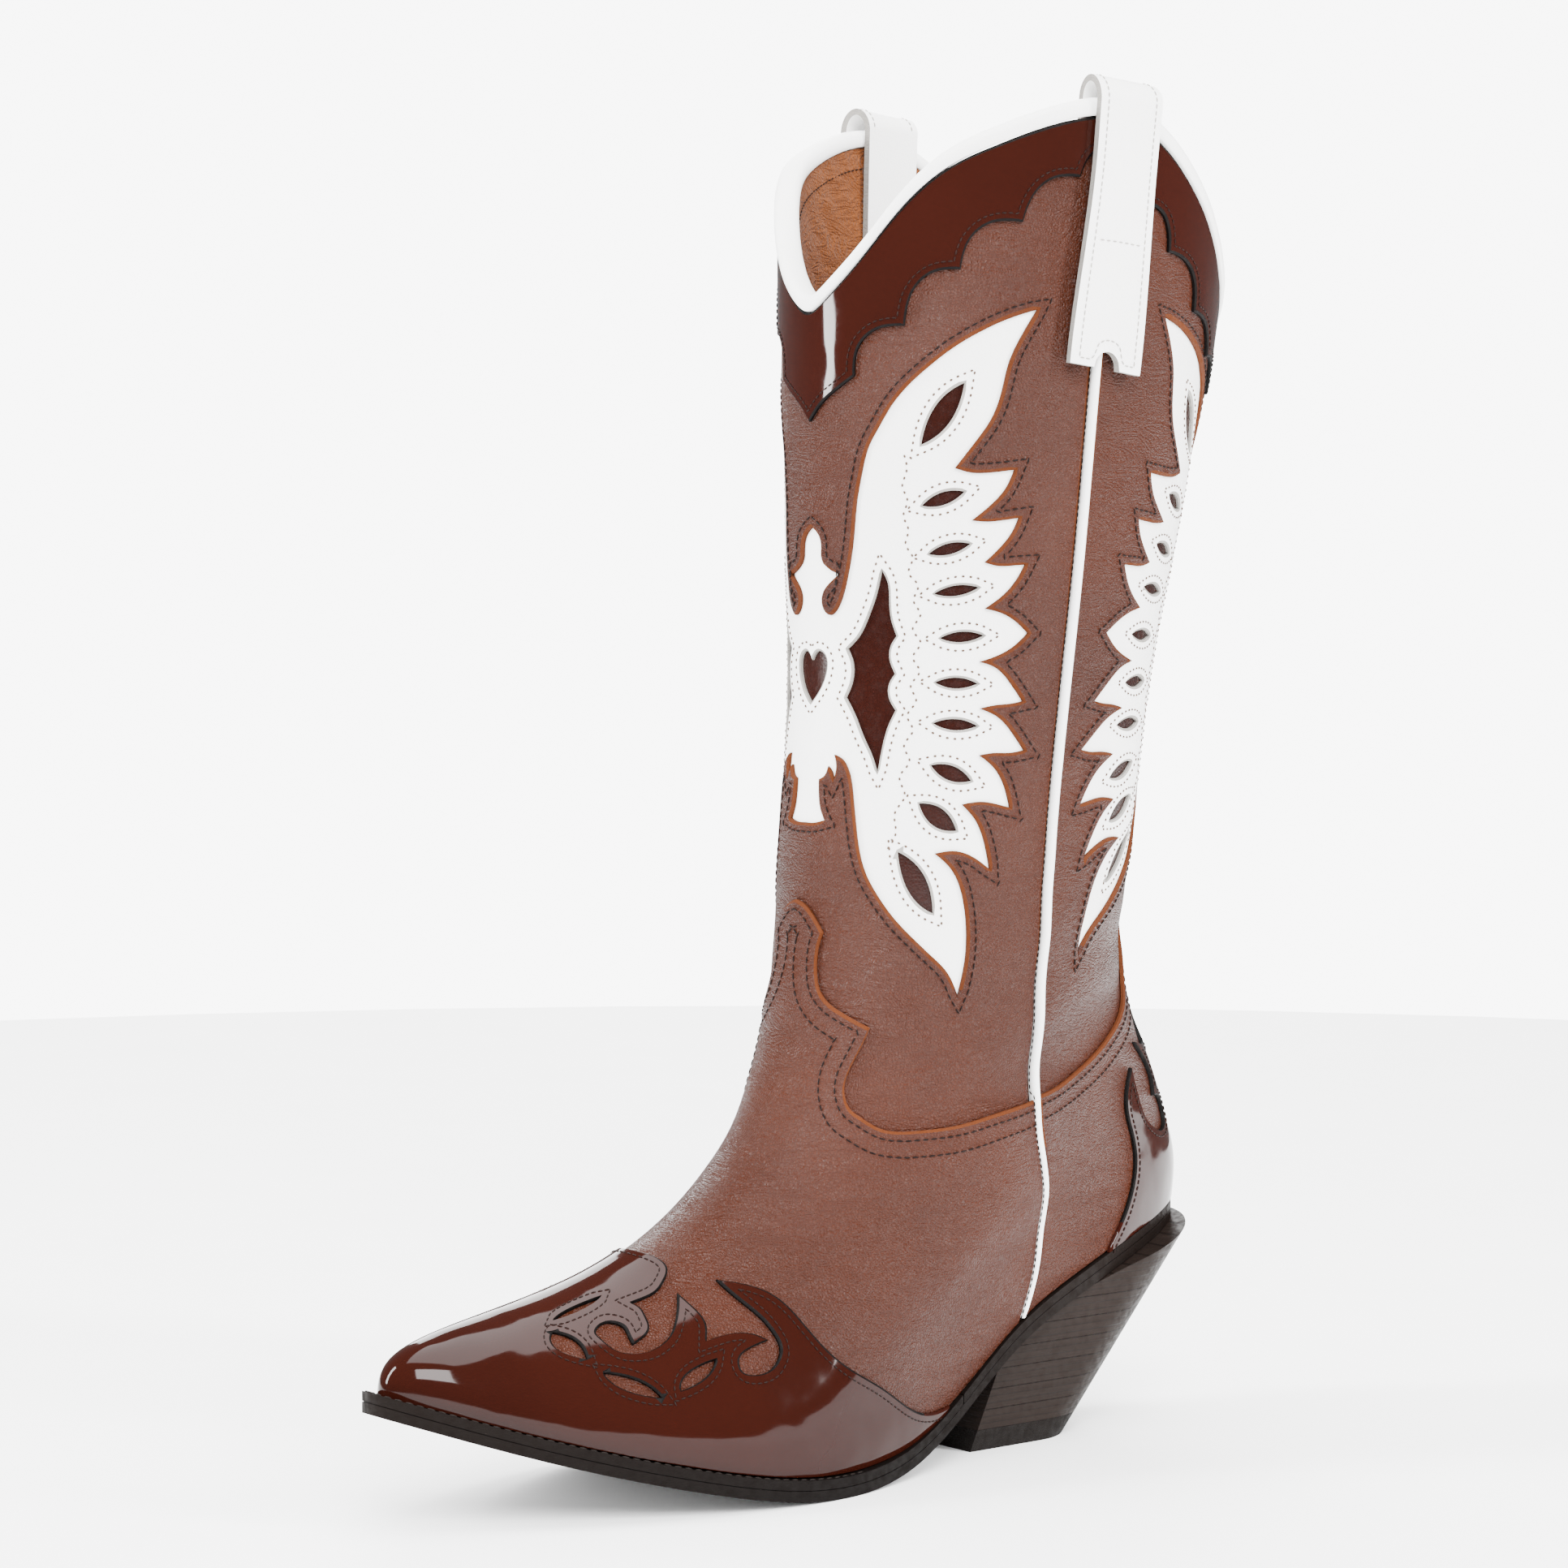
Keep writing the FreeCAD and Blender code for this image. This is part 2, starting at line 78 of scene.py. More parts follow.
class Flank(Enum):
    """The two sides of the boot, by the sign of their turn."""

    OUTER = 1.0
    INNER = -1.0


# ---- the form of the last and shaft ----------------------------------------------------------
class Spline:
    """Natural cubic spline through stations, for one value or a row of values."""

    def __init__(self, xs: np.ndarray, rows: np.ndarray) -> None:
        """Solve for the bends: zero at both ends, and equal slopes on both sides of each station.

        Args:
            xs: the stations, rising.
            rows: the value or row of values at each station.
        """
        self.xs = np.asarray(xs, float)
        rows = np.asarray(rows, float)
        self.single = rows.ndim == 1
        self.rows = rows[:, None] if self.single else rows
        count = len(self.xs)
        step = np.diff(self.xs)
        rise = np.diff(self.rows, axis=0) / step[:, None]
        matrix = np.eye(count)
        right = np.zeros_like(self.rows)
        inner = np.arange(1, count - 1)
        matrix[inner, inner - 1] = step[:-1]
        matrix[inner, inner] = 2 * (step[:-1] + step[1:])
        matrix[inner, inner + 1] = step[1:]
        right[inner] = 6 * np.diff(rise, axis=0)
        self.bends = np.linalg.solve(matrix, right)

    def __call__(self, x: np.ndarray) -> np.ndarray:
        """Cubic between the two stations round x, carried on past the ends.

        Args:
            x: places to read, of any shape.

        Returns:
            One value per place, or one row per place.
        """
        x = np.asarray(x, float)
        i = np.clip(np.searchsorted(self.xs, x, "right") - 1, 0, len(self.xs) - 2)
        h = (self.xs[i + 1] - self.xs[i])[..., None]
        d = (x - self.xs[i])[..., None]
        low, high = self.bends[i], self.bends[i + 1]
        slope = (self.rows[i + 1] - self.rows[i]) / h - h * (2 * low + high) / 6
        out = self.rows[i] + d * (slope + d * (low / 2 + d * (high - low) / (6 * h)))
        return out[..., 0] if self.single else out


def ramp(x: np.ndarray, start: float, end: float) -> np.ndarray:
    """Smooth step from 0 at start to 1 at end."""
    t = np.clip((np.asarray(x, float) - start) / (end - start), 0, 1)
    return t * t * (3 - 2 * t)


@dataclass
class BootForm:
    """Surface of the upper: turn runs round the leg from the front ridge, level runs from sole to rim."""

    levels: tuple = (
        # level, front x z, back x z, sag, half widths front to back, middle line front to back
        (0.00, 132, 35, -144, 66, 1.00, 24, 37, 39, 29, 31, 31, -3, 2, 0),
        (0.04, 130, 42, -145, 76, 0.95, 24, 37, 40, 31, 32, 31, -3, 2, 0),
        (0.10, 112, 49, -142, 88, 0.75, 22, 35, 39, 32, 32, 31, -3, 2, 0),
        (0.18, 72, 58, -136, 103, 0.50, 22, 33, 37, 34, 32, 30, -2, 2, 0),
        (0.27, 33, 77, -128, 120, 0.25, 26, 33, 36, 35, 32, 30, -1, 1, 0),
        (0.35, 8, 106, -122, 141, 0.08, 32, 35, 38, 37, 34, 31, 0, 0, 0),
        (0.43, -3, 148, -121, 163, 0.00, 39, 40, 40, 40, 39, 38, 0, 0, 0),
        (0.52, -6, 188, -124.5, 188, 0.00, 43, 43, 43, 43, 43, 43, 0, 0, 0),
        (0.65, -8, 234, -132, 234, 0.00, 46, 46, 46, 46, 46, 46, 0, 0, 0),
        (0.80, -9, 288, -143.5, 288, 0.00, 50, 50, 50, 50, 50, 50, 0, 0, 0),
        (1.00, -8, 400, -164, 400, 0.00, 55, 55, 55, 55, 55, 55, 0, 0, 0),
    )
    sole_x: tuple = (-160, -144, -115, -85, -62, -40, -20, 0, 25, 60, 100, 132, 150)
    sole_z: tuple = (70.5, 66, 58.5, 49, 38, 22, 11, 6.7, 6.7, 13, 24, 35, 41.5)
    seam_levels: tuple = (0, 0.06, 0.12, 0.20, 0.27, 0.33, 0.39, 0.45, 0.58, 0.72, 0.86, 1)
    seam_turns: tuple = (0.318, 0.321, 0.317, 0.302, 0.282, 0.264, 0.255, 0.249, 0.241, 0.237, 0.233, 0.233)

    def __post_init__(self) -> None:
        """Fit the splines of the tables."""
        table = np.array(self.levels, float)
        stations = np.linspace(0, 1, 6)
        self.rows = Spline(table[:, 0], table[:, 1:])
        self.sole = Spline(self.sole_x, self.sole_z)
        self.seam = Spline(self.seam_levels, self.seam_turns)
        self.widths = Spline(stations, np.eye(6))
        self.middles = Spline((0, 0.5, 1), np.eye(3))

    def surface(self, turn: np.ndarray, level: np.ndarray) -> np.ndarray:
        """Point of the bare form: an oval ring that leans and follows the sole as its level says.

        Args:
            turn: turns round the form.
            level: levels up the form.

        Returns:
            Points in mm.
        """
        turn, level = np.broadcast_arrays(np.asarray(turn, float), np.asarray(level, float))
        row = self.rows(level)
        s = (1 - np.cos(2 * np.pi * turn)) / 2
        half = (self.widths(s) * row[..., 5:11]).sum(-1)
        middle = (self.middles(s) * row[..., 11:14]).sum(-1)
        sag = self.sole(132 - 276 * s) - (35 + 31 * s)
        x = row[..., 0] + (row[..., 2] - row[..., 0]) * s + FOOTPRINT_SHIFT
        z = row[..., 1] + (row[..., 3] - row[..., 1]) * s + row[..., 4] * sag
        return np.stack([x, middle + half * np.sin(2 * np.pi * turn), z], -1)

    def slopes(self, turn: np.ndarray, level: np.ndarray) -> tuple[np.ndarray, np.ndarray, np.ndarray]:
        """Change of place per unit of turn and per unit of level, and the outward normal, by differences."""
        e = 1e-3
        around = (self.surface(turn + e, level) - self.surface(turn - e, level)) / (2 * e)
        up = (self.surface(turn, level + e) - self.surface(turn, level - e)) / (2 * e)
        normal = np.cross(around, up)
        return around, up, normal / np.linalg.norm(normal, axis=-1, keepdims=True)

    def relief(self, turn: np.ndarray, level: np.ndarray) -> np.ndarray:
        """Height in mm of the folds: rings at the ankle, long slow waves up the shaft, fine ones at the toe break.

        Args:
            turn: turns round the form.
            level: levels up the form.

        Returns:
            Heights in mm.
        """
        wave = 2 * np.pi
        sway = 0.9 * np.sin(wave * 2 * turn + 0.7) + 0.35 * np.sin(wave * 5 * turn + 2.0)
        side = 0.45 + 0.55 * np.sin(wave * turn) ** 2
        ankle = 0.42 * np.exp(-(((level - 0.37) / 0.075) ** 2)) * np.sin(wave * 15 * level + sway) * side
        shaft = 0.62 * ramp(level, 0.42, 0.55) * np.sin(wave * (3.1 * level + 1.0 * turn) + 0.4 * sway)
        shaft = shaft * np.cos(wave * 3 * turn + 1.1)
        toe_break = 0.16 * np.exp(-(((level - 0.16) / 0.05) ** 2)) * np.sin(wave * (30 * turn + 9 * level))
        toe_break = toe_break * np.exp(-(((np.abs(turn) - 0.19) / 0.05) ** 2))
        return (ankle + shaft + toe_break) * ramp(level, 0.02, 0.09)

    def place(self, turn: np.ndarray, level: np.ndarray, out: np.ndarray | float) -> np.ndarray:
        """Point at a distance in mm outside the form, along its normal, with the folds added.

        Args:
            turn: way round the leg.
            level: way up from the feather edge.
            out: distance outside the form, in mm.

        Returns:
            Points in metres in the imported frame.
        """
        turn, level = np.broadcast_arrays(np.asarray(turn, float), np.asarray(level, float))
        normal = self.slopes(turn, level)[2]
        lift = np.asarray(out, float) + self.relief(turn, level)
        return (self.surface(turn, level) + normal * lift[..., None]) * MM

    def folded_normal(self, turn: np.ndarray, level: np.ndarray) -> np.ndarray:
        """Outward unit normal of the form with its folds, by differences."""
        e = 1e-3
        around = self.place(turn + e, level, 0.0) - self.place(turn - e, level, 0.0)
        up = self.place(turn, level + e, 0.0) - self.place(turn, level - e, 0.0)
        normal = np.cross(around, up)
        return normal / np.linalg.norm(normal, axis=-1, keepdims=True)

    def shift(self, path: np.ndarray, sideways: float, closed: bool = False) -> np.ndarray:
        """Path carried sideways over the surface, to the left of its run as seen from outside.

        The way sideways is the normal crossed with the run, lengthened at corners, and it is turned into
        steps of turn and level with the inverse of the surface's metric. Points that come too near the
        path again are left out.

        Args:
            path: (turn, level) points in order.
            sideways: distance in mm, negative to the right.
            closed: whether the path returns to its start.

        Returns:
            (turn, level) points of the new path.
        """
        around, up, normal = self.slopes(path[:, 0], path[:, 1])
        spots = self.surface(path[:, 0], path[:, 1])
        ahead = np.roll(spots, -1, 0) - spots
        behind = spots - np.roll(spots, 1, 0)
        if not closed:
            ahead[-1], behind[0] = behind[-1], ahead[0]
        ahead /= np.linalg.norm(ahead, axis=1, keepdims=True) + 1e-9
        behind /= np.linalg.norm(behind, axis=1, keepdims=True) + 1e-9
        run = ahead + behind
        run /= np.linalg.norm(run, axis=1, keepdims=True) + 1e-9
        mitre = 1 / np.clip((run * ahead).sum(1), 0.5, 1)
        way = np.cross(normal, run) * (sideways * mitre)[:, None]
        aa, uu, au = (around * around).sum(1), (up * up).sum(1), (around * up).sum(1)
        wa, wu = (way * around).sum(1), (way * up).sum(1)
        det = aa * uu - au * au
        moved = path + np.stack([(wa * uu - wu * au) / det, (wu * aa - wa * au) / det], 1)
        gaps = np.linalg.norm(self.surface(moved[:, 0], moved[:, 1])[:, None] - spots[None], axis=2).min(1)
        return moved[gaps > 0.9 * abs(sideways)]


FORM = BootForm()


# ---- outlines --------------------------------------------------------------------------------
Run = tuple[tuple[float, float], ...]


def trace(runs: tuple[Run, ...], chart: np.ndarray, pitch: float) -> np.ndarray:
    """Smooth line through each run, with corners where two runs meet.

    Each run is a natural cubic spline over its chord length, read at even steps.

    Args:
        runs: points of (turn, level) in thousandths, each run starting where the last one ended.
        chart: mm per unit of turn and level.
        pitch: step along the line in mm.

    Returns:
        (turn, level) points.
    """
    parts = []
    for run in runs:
        points = np.array(run, float) / 1000
        chord = np.concatenate([[0], np.cumsum(np.linalg.norm(np.diff(points, axis=0) * chart, axis=1))])
        count = max(2, int(math.ceil(chord[-1] / pitch)) + 1)
        parts.append(Spline(chord, points)(np.linspace(0, chord[-1], count))[:-1])
        last = points[-1:]
    return np.concatenate(parts + [last])


def both_sides(path: np.ndarray, middle: float = 0.0) -> np.ndarray:
    """Closed loop of a half outline that starts and ends on the middle line, and its mirror image."""
    mirrored = path[::-1] * (-1, 1) + (2 * middle, 0)
    return np.concatenate([path[:-1], mirrored[:-1]])


def lens(tip_a: tuple[float, float], tip_b: tuple[float, float], width: float, chart: np.ndarray) -> np.ndarray:
    """Pointed oval between two tips: its half width falls off as one less the square of the way along.

    Args:
        tip_a: first tip, (turn, level) in thousandths.
        tip_b: second tip.
        width: widest place across, in mm.
        chart: mm per unit of turn and level.

    Returns:
        Closed loop of (turn, level) points.
    """
    a, b = np.array(tip_a) / 1000 * chart, np.array(tip_b) / 1000 * chart
    t = np.linspace(-1, 1, 15)[:, None]
    axis = (b - a) / 2
    across = np.array([-axis[1], axis[0]]) / np.linalg.norm(axis) * width / 2
    side = (a + b) / 2 + t * axis + (1 - t * t) * across
    other = (a + b) / 2 - t * axis - (1 - t * t) * across
    return np.concatenate([side[:-1], other[:-1]]) / chart


def in_loops(points: np.ndarray, starts: np.ndarray, ends: np.ndarray) -> np.ndarray:
    """Which points lie inside, by whether a ray to the right crosses the loops an odd number of times.

    Args:
        points: places to test.
        starts: first ends of the loops' edges.
        ends: second ends of the same edges.

    Returns:
        True for each point inside.
    """
    inside = np.zeros(len(points), bool)
    rise = ends[:, 1] - starts[:, 1]
    slope = (ends[:, 0] - starts[:, 0]) / np.where(rise == 0, 1e-12, rise)
    for part in np.array_split(np.arange(len(points)), max(1, len(points) // 1500)):
        x, y = points[part, 0:1], points[part, 1:2]
        spans = (starts[:, 1] > y) != (ends[:, 1] > y)
        hits = spans & (x < starts[:, 0] + slope * (y - starts[:, 1]))
        inside[part] = hits.sum(1) % 2 == 1
    return inside


def nearest(points: np.ndarray, others: np.ndarray) -> np.ndarray:
    """Distance from each point to the nearest of the others."""
    parts = np.array_split(points, max(1, len(points) // 1500))
    squares = [((p[:, None, :] - others[None]) ** 2).sum(2).min(1) for p in parts if len(p)]
    return np.sqrt(np.concatenate(squares)) if squares else np.zeros(0)


# ---- meshes ----------------------------------------------------------------------------------
@dataclass
class Shape:
    """Vertices in metres, triangles, and each triangle's material number."""

    verts: np.ndarray
    faces: np.ndarray
    slots: np.ndarray
    normals: np.ndarray | None = None  # one per face corner, zero where Blender works it out

    def object(self, name: str, materials: list[bpy.types.Material], sharp: float = 38.0) -> bpy.types.Object:
        """Blender object of this shape at the origin.

        Args:
            name: object and mesh name.
            materials: materials in the order of the slot numbers.
            sharp: angle in degrees past which an edge is shaded sharp.

        Returns:
            The new object.
        """
        mesh = bpy.data.meshes.new(name)
        mesh.from_pydata(self.verts, [], self.faces.tolist())
        for material in materials:
            mesh.materials.append(material)
        mesh.polygons.foreach_set("material_index", self.slots.astype(np.int32))
        mesh.polygons.foreach_set("use_smooth", np.ones(len(self.faces), bool))
        mesh.set_sharp_from_angle(angle=math.radians(sharp))
        mesh.update()
        if self.normals is not None:
            mesh.normals_split_custom_set(self.normals.tolist())
        piece = bpy.data.objects.new(name, mesh)
        bpy.context.scene.collection.objects.link(piece)
        return piece


def merge(shapes: list[Shape]) -> Shape:
    """One shape of several, each one's face numbers moved on by the vertices before it.

    Args:
        shapes: the shapes to put together.

    Returns:
        The joined shape.
    """
    starts = np.cumsum([0] + [len(s.verts) for s in shapes[:-1]])
    return Shape(
        np.concatenate([s.verts for s in shapes]),
        np.concatenate([s.faces + n for s, n in zip(shapes, starts)]),
        np.concatenate([s.slots for s in shapes]),
    )


def cut_sheet(
    loops: list[np.ndarray],
    chart: np.ndarray,
    pitch: float,
    outer: float,
    inner: float,
    lip: float = 1.1,
    roll: float = 0.55,
    raw_above: float = 0.02,
) -> Shape:
    """Leather sheet with cut-outs, laid on the form.

    The sheet is a constrained triangulation in turn and level of its loops, a row of points one lip inside
    them and an even grid; the outer skin sits at the outer offset and falls by the roll at its edges,
    the inner skin sits at the inner offset, and walls join the two round every loop.

    Args:
        loops: closed loops of (turn, level); a point is in the sheet if an odd number of loops holds it.
        chart: mm per unit of turn and level.
        pitch: grid step in mm.
        outer: offset of the outer face in mm.
        inner: offset of the inner face in mm.
        lip: width of the rolled edge in mm.
        roll: how far the edge falls in mm.
        raw_above: level over which edges show their raw colour, slot 1.

    Returns:
        The closed shape, faces in slot 0 and raw edges in slot 1.
    """
    rings = [loop * chart for loop in loops]
    edge = np.concatenate(rings)
    firsts = np.cumsum([0] + [len(r) for r in rings])
    follow = np.concatenate([np.roll(np.arange(a, b), -1) for a, b in zip(firsts[:-1], firsts[1:])])
    starts, ends = edge, edge[follow]
    tangents = np.concatenate([np.roll(r, -1, 0) - np.roll(r, 1, 0) for r in rings])
    tangents /= np.linalg.norm(tangents, axis=1, keepdims=True) + 1e-9
    across = np.stack([-tangents[:, 1], tangents[:, 0]], 1)
    rows = np.concatenate([edge + across * lip, edge - across * lip])
    rows = rows[nearest(rows, edge) > 0.85 * lip]
    low, high = edge.min(0), edge.max(0)
    xs, ys = np.meshgrid(np.arange(low[0], high[0], pitch), np.arange(low[1], high[1], pitch))
    grid = np.stack([xs.ravel(), ys.ravel()], 1)
    grid = grid[nearest(grid, edge) > max(1.7 * lip, 0.55 * pitch)]
    loose = np.concatenate([rows, grid])
    loose = loose[in_loops(loose, starts, ends)]
    points = np.concatenate([edge, loose])
    found = delaunay_2d_cdt(
        [Vector(p) for p in points.tolist()],
        list(zip(range(len(edge)), follow.tolist())),
        [],
        0,
        1e-4,
        False,
    )
    flat = np.array([v[:] for v in found[0]])
    faces = np.array([f for f in found[2] if len(f) == 3])
    faces = faces[in_loops(flat[faces].mean(1), starts, ends)]
    used, faces = np.unique(faces, return_inverse=True)
    faces = faces.reshape(-1, 3)
    flat = flat[used]
    spots = flat / chart
    on_edge = nearest(flat, edge) < 1e-3
    sides = np.concatenate([faces[:, [0, 1]], faces[:, [1, 2]], faces[:, [2, 0]]])
    keys = np.sort(sides, 1) @ np.array([len(flat), 1])
    _, first, count = np.unique(keys, return_index=True, return_counts=True)
    rim = sides[first[count == 1]]
    total = len(flat)
    walls = np.concatenate(
        [
            np.stack([rim[:, 1], rim[:, 0], rim[:, 0] + total], 1),
            np.stack([rim[:, 1], rim[:, 0] + total, rim[:, 1] + total], 1),
        ]
    )
    top = FORM.place(spots[:, 0], spots[:, 1], np.where(on_edge, outer - roll, outer))
    under = FORM.place(spots[:, 0], spots[:, 1], inner)
    lip_face = on_edge[faces].any(1)
    normals = FORM.folded_normal(spots[:, 0], spots[:, 1])[faces] * ~lip_face[:, None, None]
    normals = np.concatenate([normals.reshape(-1, 3), np.zeros((3 * (len(faces) + len(walls)), 3))])
    raw_face = lip_face & (spots[faces][:, :, 1].max(1) > raw_above)
    raw_wall = spots[walls[:, 1] % total][:, 1] > raw_above
    return Shape(
        np.concatenate([top, under]),
        np.concatenate([faces, faces[:, ::-1] + total, walls]),
        np.concatenate([raw_face, np.zeros(len(faces), bool), raw_wall]).astype(int),
        normals,
    )


def quads(first: np.ndarray, second: np.ndarray, third: np.ndarray, fourth: np.ndarray) -> np.ndarray:
    """Two triangles for each quad of the four corner arrays."""
    first, second, third, fourth = (a.ravel() for a in (first, second, third, fourth))
    return np.concatenate([np.stack([first, second, third], 1), np.stack([first, third, fourth], 1)])


def loft(rings: np.ndarray, flip: bool) -> Shape:
    """Skin over rings of points (ring, point, xyz), with a fan from each end ring's middle.

    Args:
        rings: rings in order along the path.
        flip: whether to turn the faces round.

    Returns:
        The closed shape.
    """
    count, size = rings.shape[:2]
    ids = np.arange(count * size).reshape(count, size)
    beside = np.roll(ids, -1, 1)
    skin = quads(ids[:-1], beside[:-1], beside[1:], ids[1:])
    start, stop = count * size, count * size + 1
    first_fan = np.stack([beside[0], ids[0], np.full(size, start)], 1)
    last_fan = np.stack([ids[-1], beside[-1], np.full(size, stop)], 1)
    faces = np.concatenate([skin, first_fan, last_fan])
    verts = np.concatenate([rings.reshape(-1, 3), [rings[0].mean(0), rings[-1].mean(0)]])
    if flip:
        faces = faces[:, ::-1]
    return Shape(verts, faces, np.zeros(len(faces), int))


def slab(outer: np.ndarray, inner: np.ndarray, rim_slot: int = 0) -> Shape:
    """Closed shape between two grids (column, row, xyz); columns run to the right as seen from outside.

    Args:
        outer: outer grid.
        inner: inner grid of the same size.
        rim_slot: material number of the four rims.

    Returns:
        The closed shape.
    """
    wide, tall = outer.shape[:2]
    ids = np.arange(wide * tall).reshape(wide, tall)
    low = ids + wide * tall
    skin = quads(ids[:-1, :-1], ids[1:, :-1], ids[1:, 1:], ids[:-1, 1:])
    back = quads(low[:-1, :-1], low[:-1, 1:], low[1:, 1:], low[1:, :-1])
    rims = [
        quads(ids[1:, 0], ids[:-1, 0], low[:-1, 0], low[1:, 0]),
        quads(ids[:-1, -1], ids[1:, -1], low[1:, -1], low[:-1, -1]),
        quads(ids[0, :-1], ids[0, 1:], low[0, 1:], low[0, :-1]),
        quads(ids[-1, 1:], ids[-1, :-1], low[-1, :-1], low[-1, 1:]),
    ]
    rim = np.concatenate(rims)
    return Shape(
        np.concatenate([outer.reshape(-1, 3), inner.reshape(-1, 3)]),
        np.concatenate([skin, back, rim]),
        np.concatenate([np.zeros(len(skin) + len(back)), np.full(len(rim), rim_slot)]).astype(int),
    )


# ---- thread ----------------------------------------------------------------------------------
@dataclass(frozen=True)
class Thread:
    """How a row is sewn: stitch spacing, stitch length and half thickness in mm, and how proud it lies."""

    pitch: float = 2.5
    length: float = 2.0
    radius: float = 0.26
    proud: float = 0.1

    def along(self, line: np.ndarray, normals: np.ndarray) -> Shape:
        """Stitches along a line: stretched beads, one at every pitch of arc length.

        Each bead's point is its middle, plus half its length along the line times the cosine of the ring
        angle, plus its radius times the sine, turned round the line.

        Args:
            line: points in metres.
            normals: outward normals at the points.

        Returns:
            One shape of all the beads.
        """
        arc = np.concatenate([[0], np.cumsum(np.linalg.norm(np.diff(line, axis=0), axis=1))])
        count = max(1, int(arc[-1] / (self.pitch * MM)))
        where = (np.arange(count) + 0.5) * arc[-1] / count
        middle = np.stack([np.interp(where, arc, line[:, k]) for k in range(3)], 1)
        ahead = np.stack([np.interp(where + self.length * MM / 2, arc, line[:, k]) for k in range(3)], 1)
        behind = np.stack([np.interp(where - self.length * MM / 2, arc, line[:, k]) for k in range(3)], 1)
        normal = np.stack([np.interp(where, arc, normals[:, k]) for k in range(3)], 1)
        run = ahead - behind
        run /= np.linalg.norm(run, axis=1, keepdims=True) + 1e-12
        side = np.cross(normal, run)
        side /= np.linalg.norm(side, axis=1, keepdims=True) + 1e-12
        lift = np.cross(run, side)
        ring = np.array([0.25, 0.5, 0.75]) * np.pi
        spin = np.arange(6) * np.pi / 3
        half, radius = self.length * MM / 2, self.radius * MM
        offset = (
            -np.cos(ring)[None, :, None, None] * half * run[:, None, None, :]
            + (np.sin(ring)[:, None] * np.cos(spin))[None, :, :, None] * radius * side[:, None, None, :]
            + (np.sin(ring)[:, None] * np.sin(spin))[None, :, :, None] * radius * lift[:, None, None, :]
        )
        centre = middle + normal * self.proud * MM
        rings = (centre[:, None, None, :] + offset).reshape(count, 18, 3)
        poles = np.stack([centre - half * run, centre + half * run], 1)
        verts = np.concatenate([rings, poles], 1)
        ids = np.arange(18).reshape(3, 6)
        beside = np.roll(ids, -1, 1)
        faces = np.concatenate(
            [
                quads(ids[:-1], beside[:-1], beside[1:], ids[1:]),
                np.stack([beside[0], ids[0], np.full(6, 18)], 1),
                np.stack([ids[2], beside[2], np.full(6, 19)], 1),
            ]
        )
        faces = (faces[None] + (np.arange(count) * 20)[:, None, None]).reshape(-1, 3)
        return Shape(verts.reshape(-1, 3), faces, np.zeros(len(faces), int))

    def on_form(self, path: np.ndarray, out: float, closed: bool = False) -> Shape:
        """Row of stitches on a (turn, level) path, at an offset in mm."""
        if closed:
            path = np.concatenate([path, path[:1]])
        return self.along(FORM.place(path[:, 0], path[:, 1], out), FORM.slopes(path[:, 0], path[:, 1])[2])


SEAM_THREAD = Thread()
FINE_THREAD = Thread(pitch=1.9, length=1.5, radius=0.22)
DOT_THREAD = Thread(pitch=2.1, length=0.95, radius=0.34, proud=0.02)


# ---- materials -------------------------------------------------------------------------------
class NodeBench:
    """Small helper that adds and links nodes in one tree."""

    def __init__(self, tree: bpy.types.NodeTree) -> None:
        """Keep the tree."""
        self.tree = tree

    def add(self, kind: str, **values: object) -> bpy.types.Node:
        """Add a node, set properties by name, and sockets by name with underscores for spaces.

        Args:
            kind: node type.
            values: properties or input sockets.

        Returns:
            The node.
        """
        node = self.tree.nodes.new(kind)
        for name, value in values.items():
            if hasattr(node, name):
                setattr(node, name, value)
            else:
                node.inputs[name.replace("_", " ")].default_value = value
        return node

    def link(self, source: bpy.types.NodeSocket, target: bpy.types.NodeSocket) -> None:
        """Join two sockets."""
        self.tree.links.new(source, target)


def group(name: str, inputs: dict[str, float], outputs: tuple[str, ...]) -> tuple[NodeBench, dict, dict]:
    """New shader node group with named value sockets.

    Args:
        name: group name.
        inputs: input names and their starting values.
        outputs: output names.

    Returns:
        The bench of the group, its input sockets and its output sockets.
    """
    tree = bpy.data.node_groups.new(name, "ShaderNodeTree")
    for key, value in inputs.items():
        tree.interface.new_socket(key, in_out="INPUT", socket_type="NodeSocketFloat").default_value = value
    for key in outputs:
        tree.interface.new_socket(key, in_out="OUTPUT", socket_type="NodeSocketFloat")
    bench = NodeBench(tree)
    entry, leave = bench.add("NodeGroupInput"), bench.add("NodeGroupOutput")
    return bench, {k: entry.outputs[k] for k in inputs}, {k: leave.inputs[k] for k in outputs}


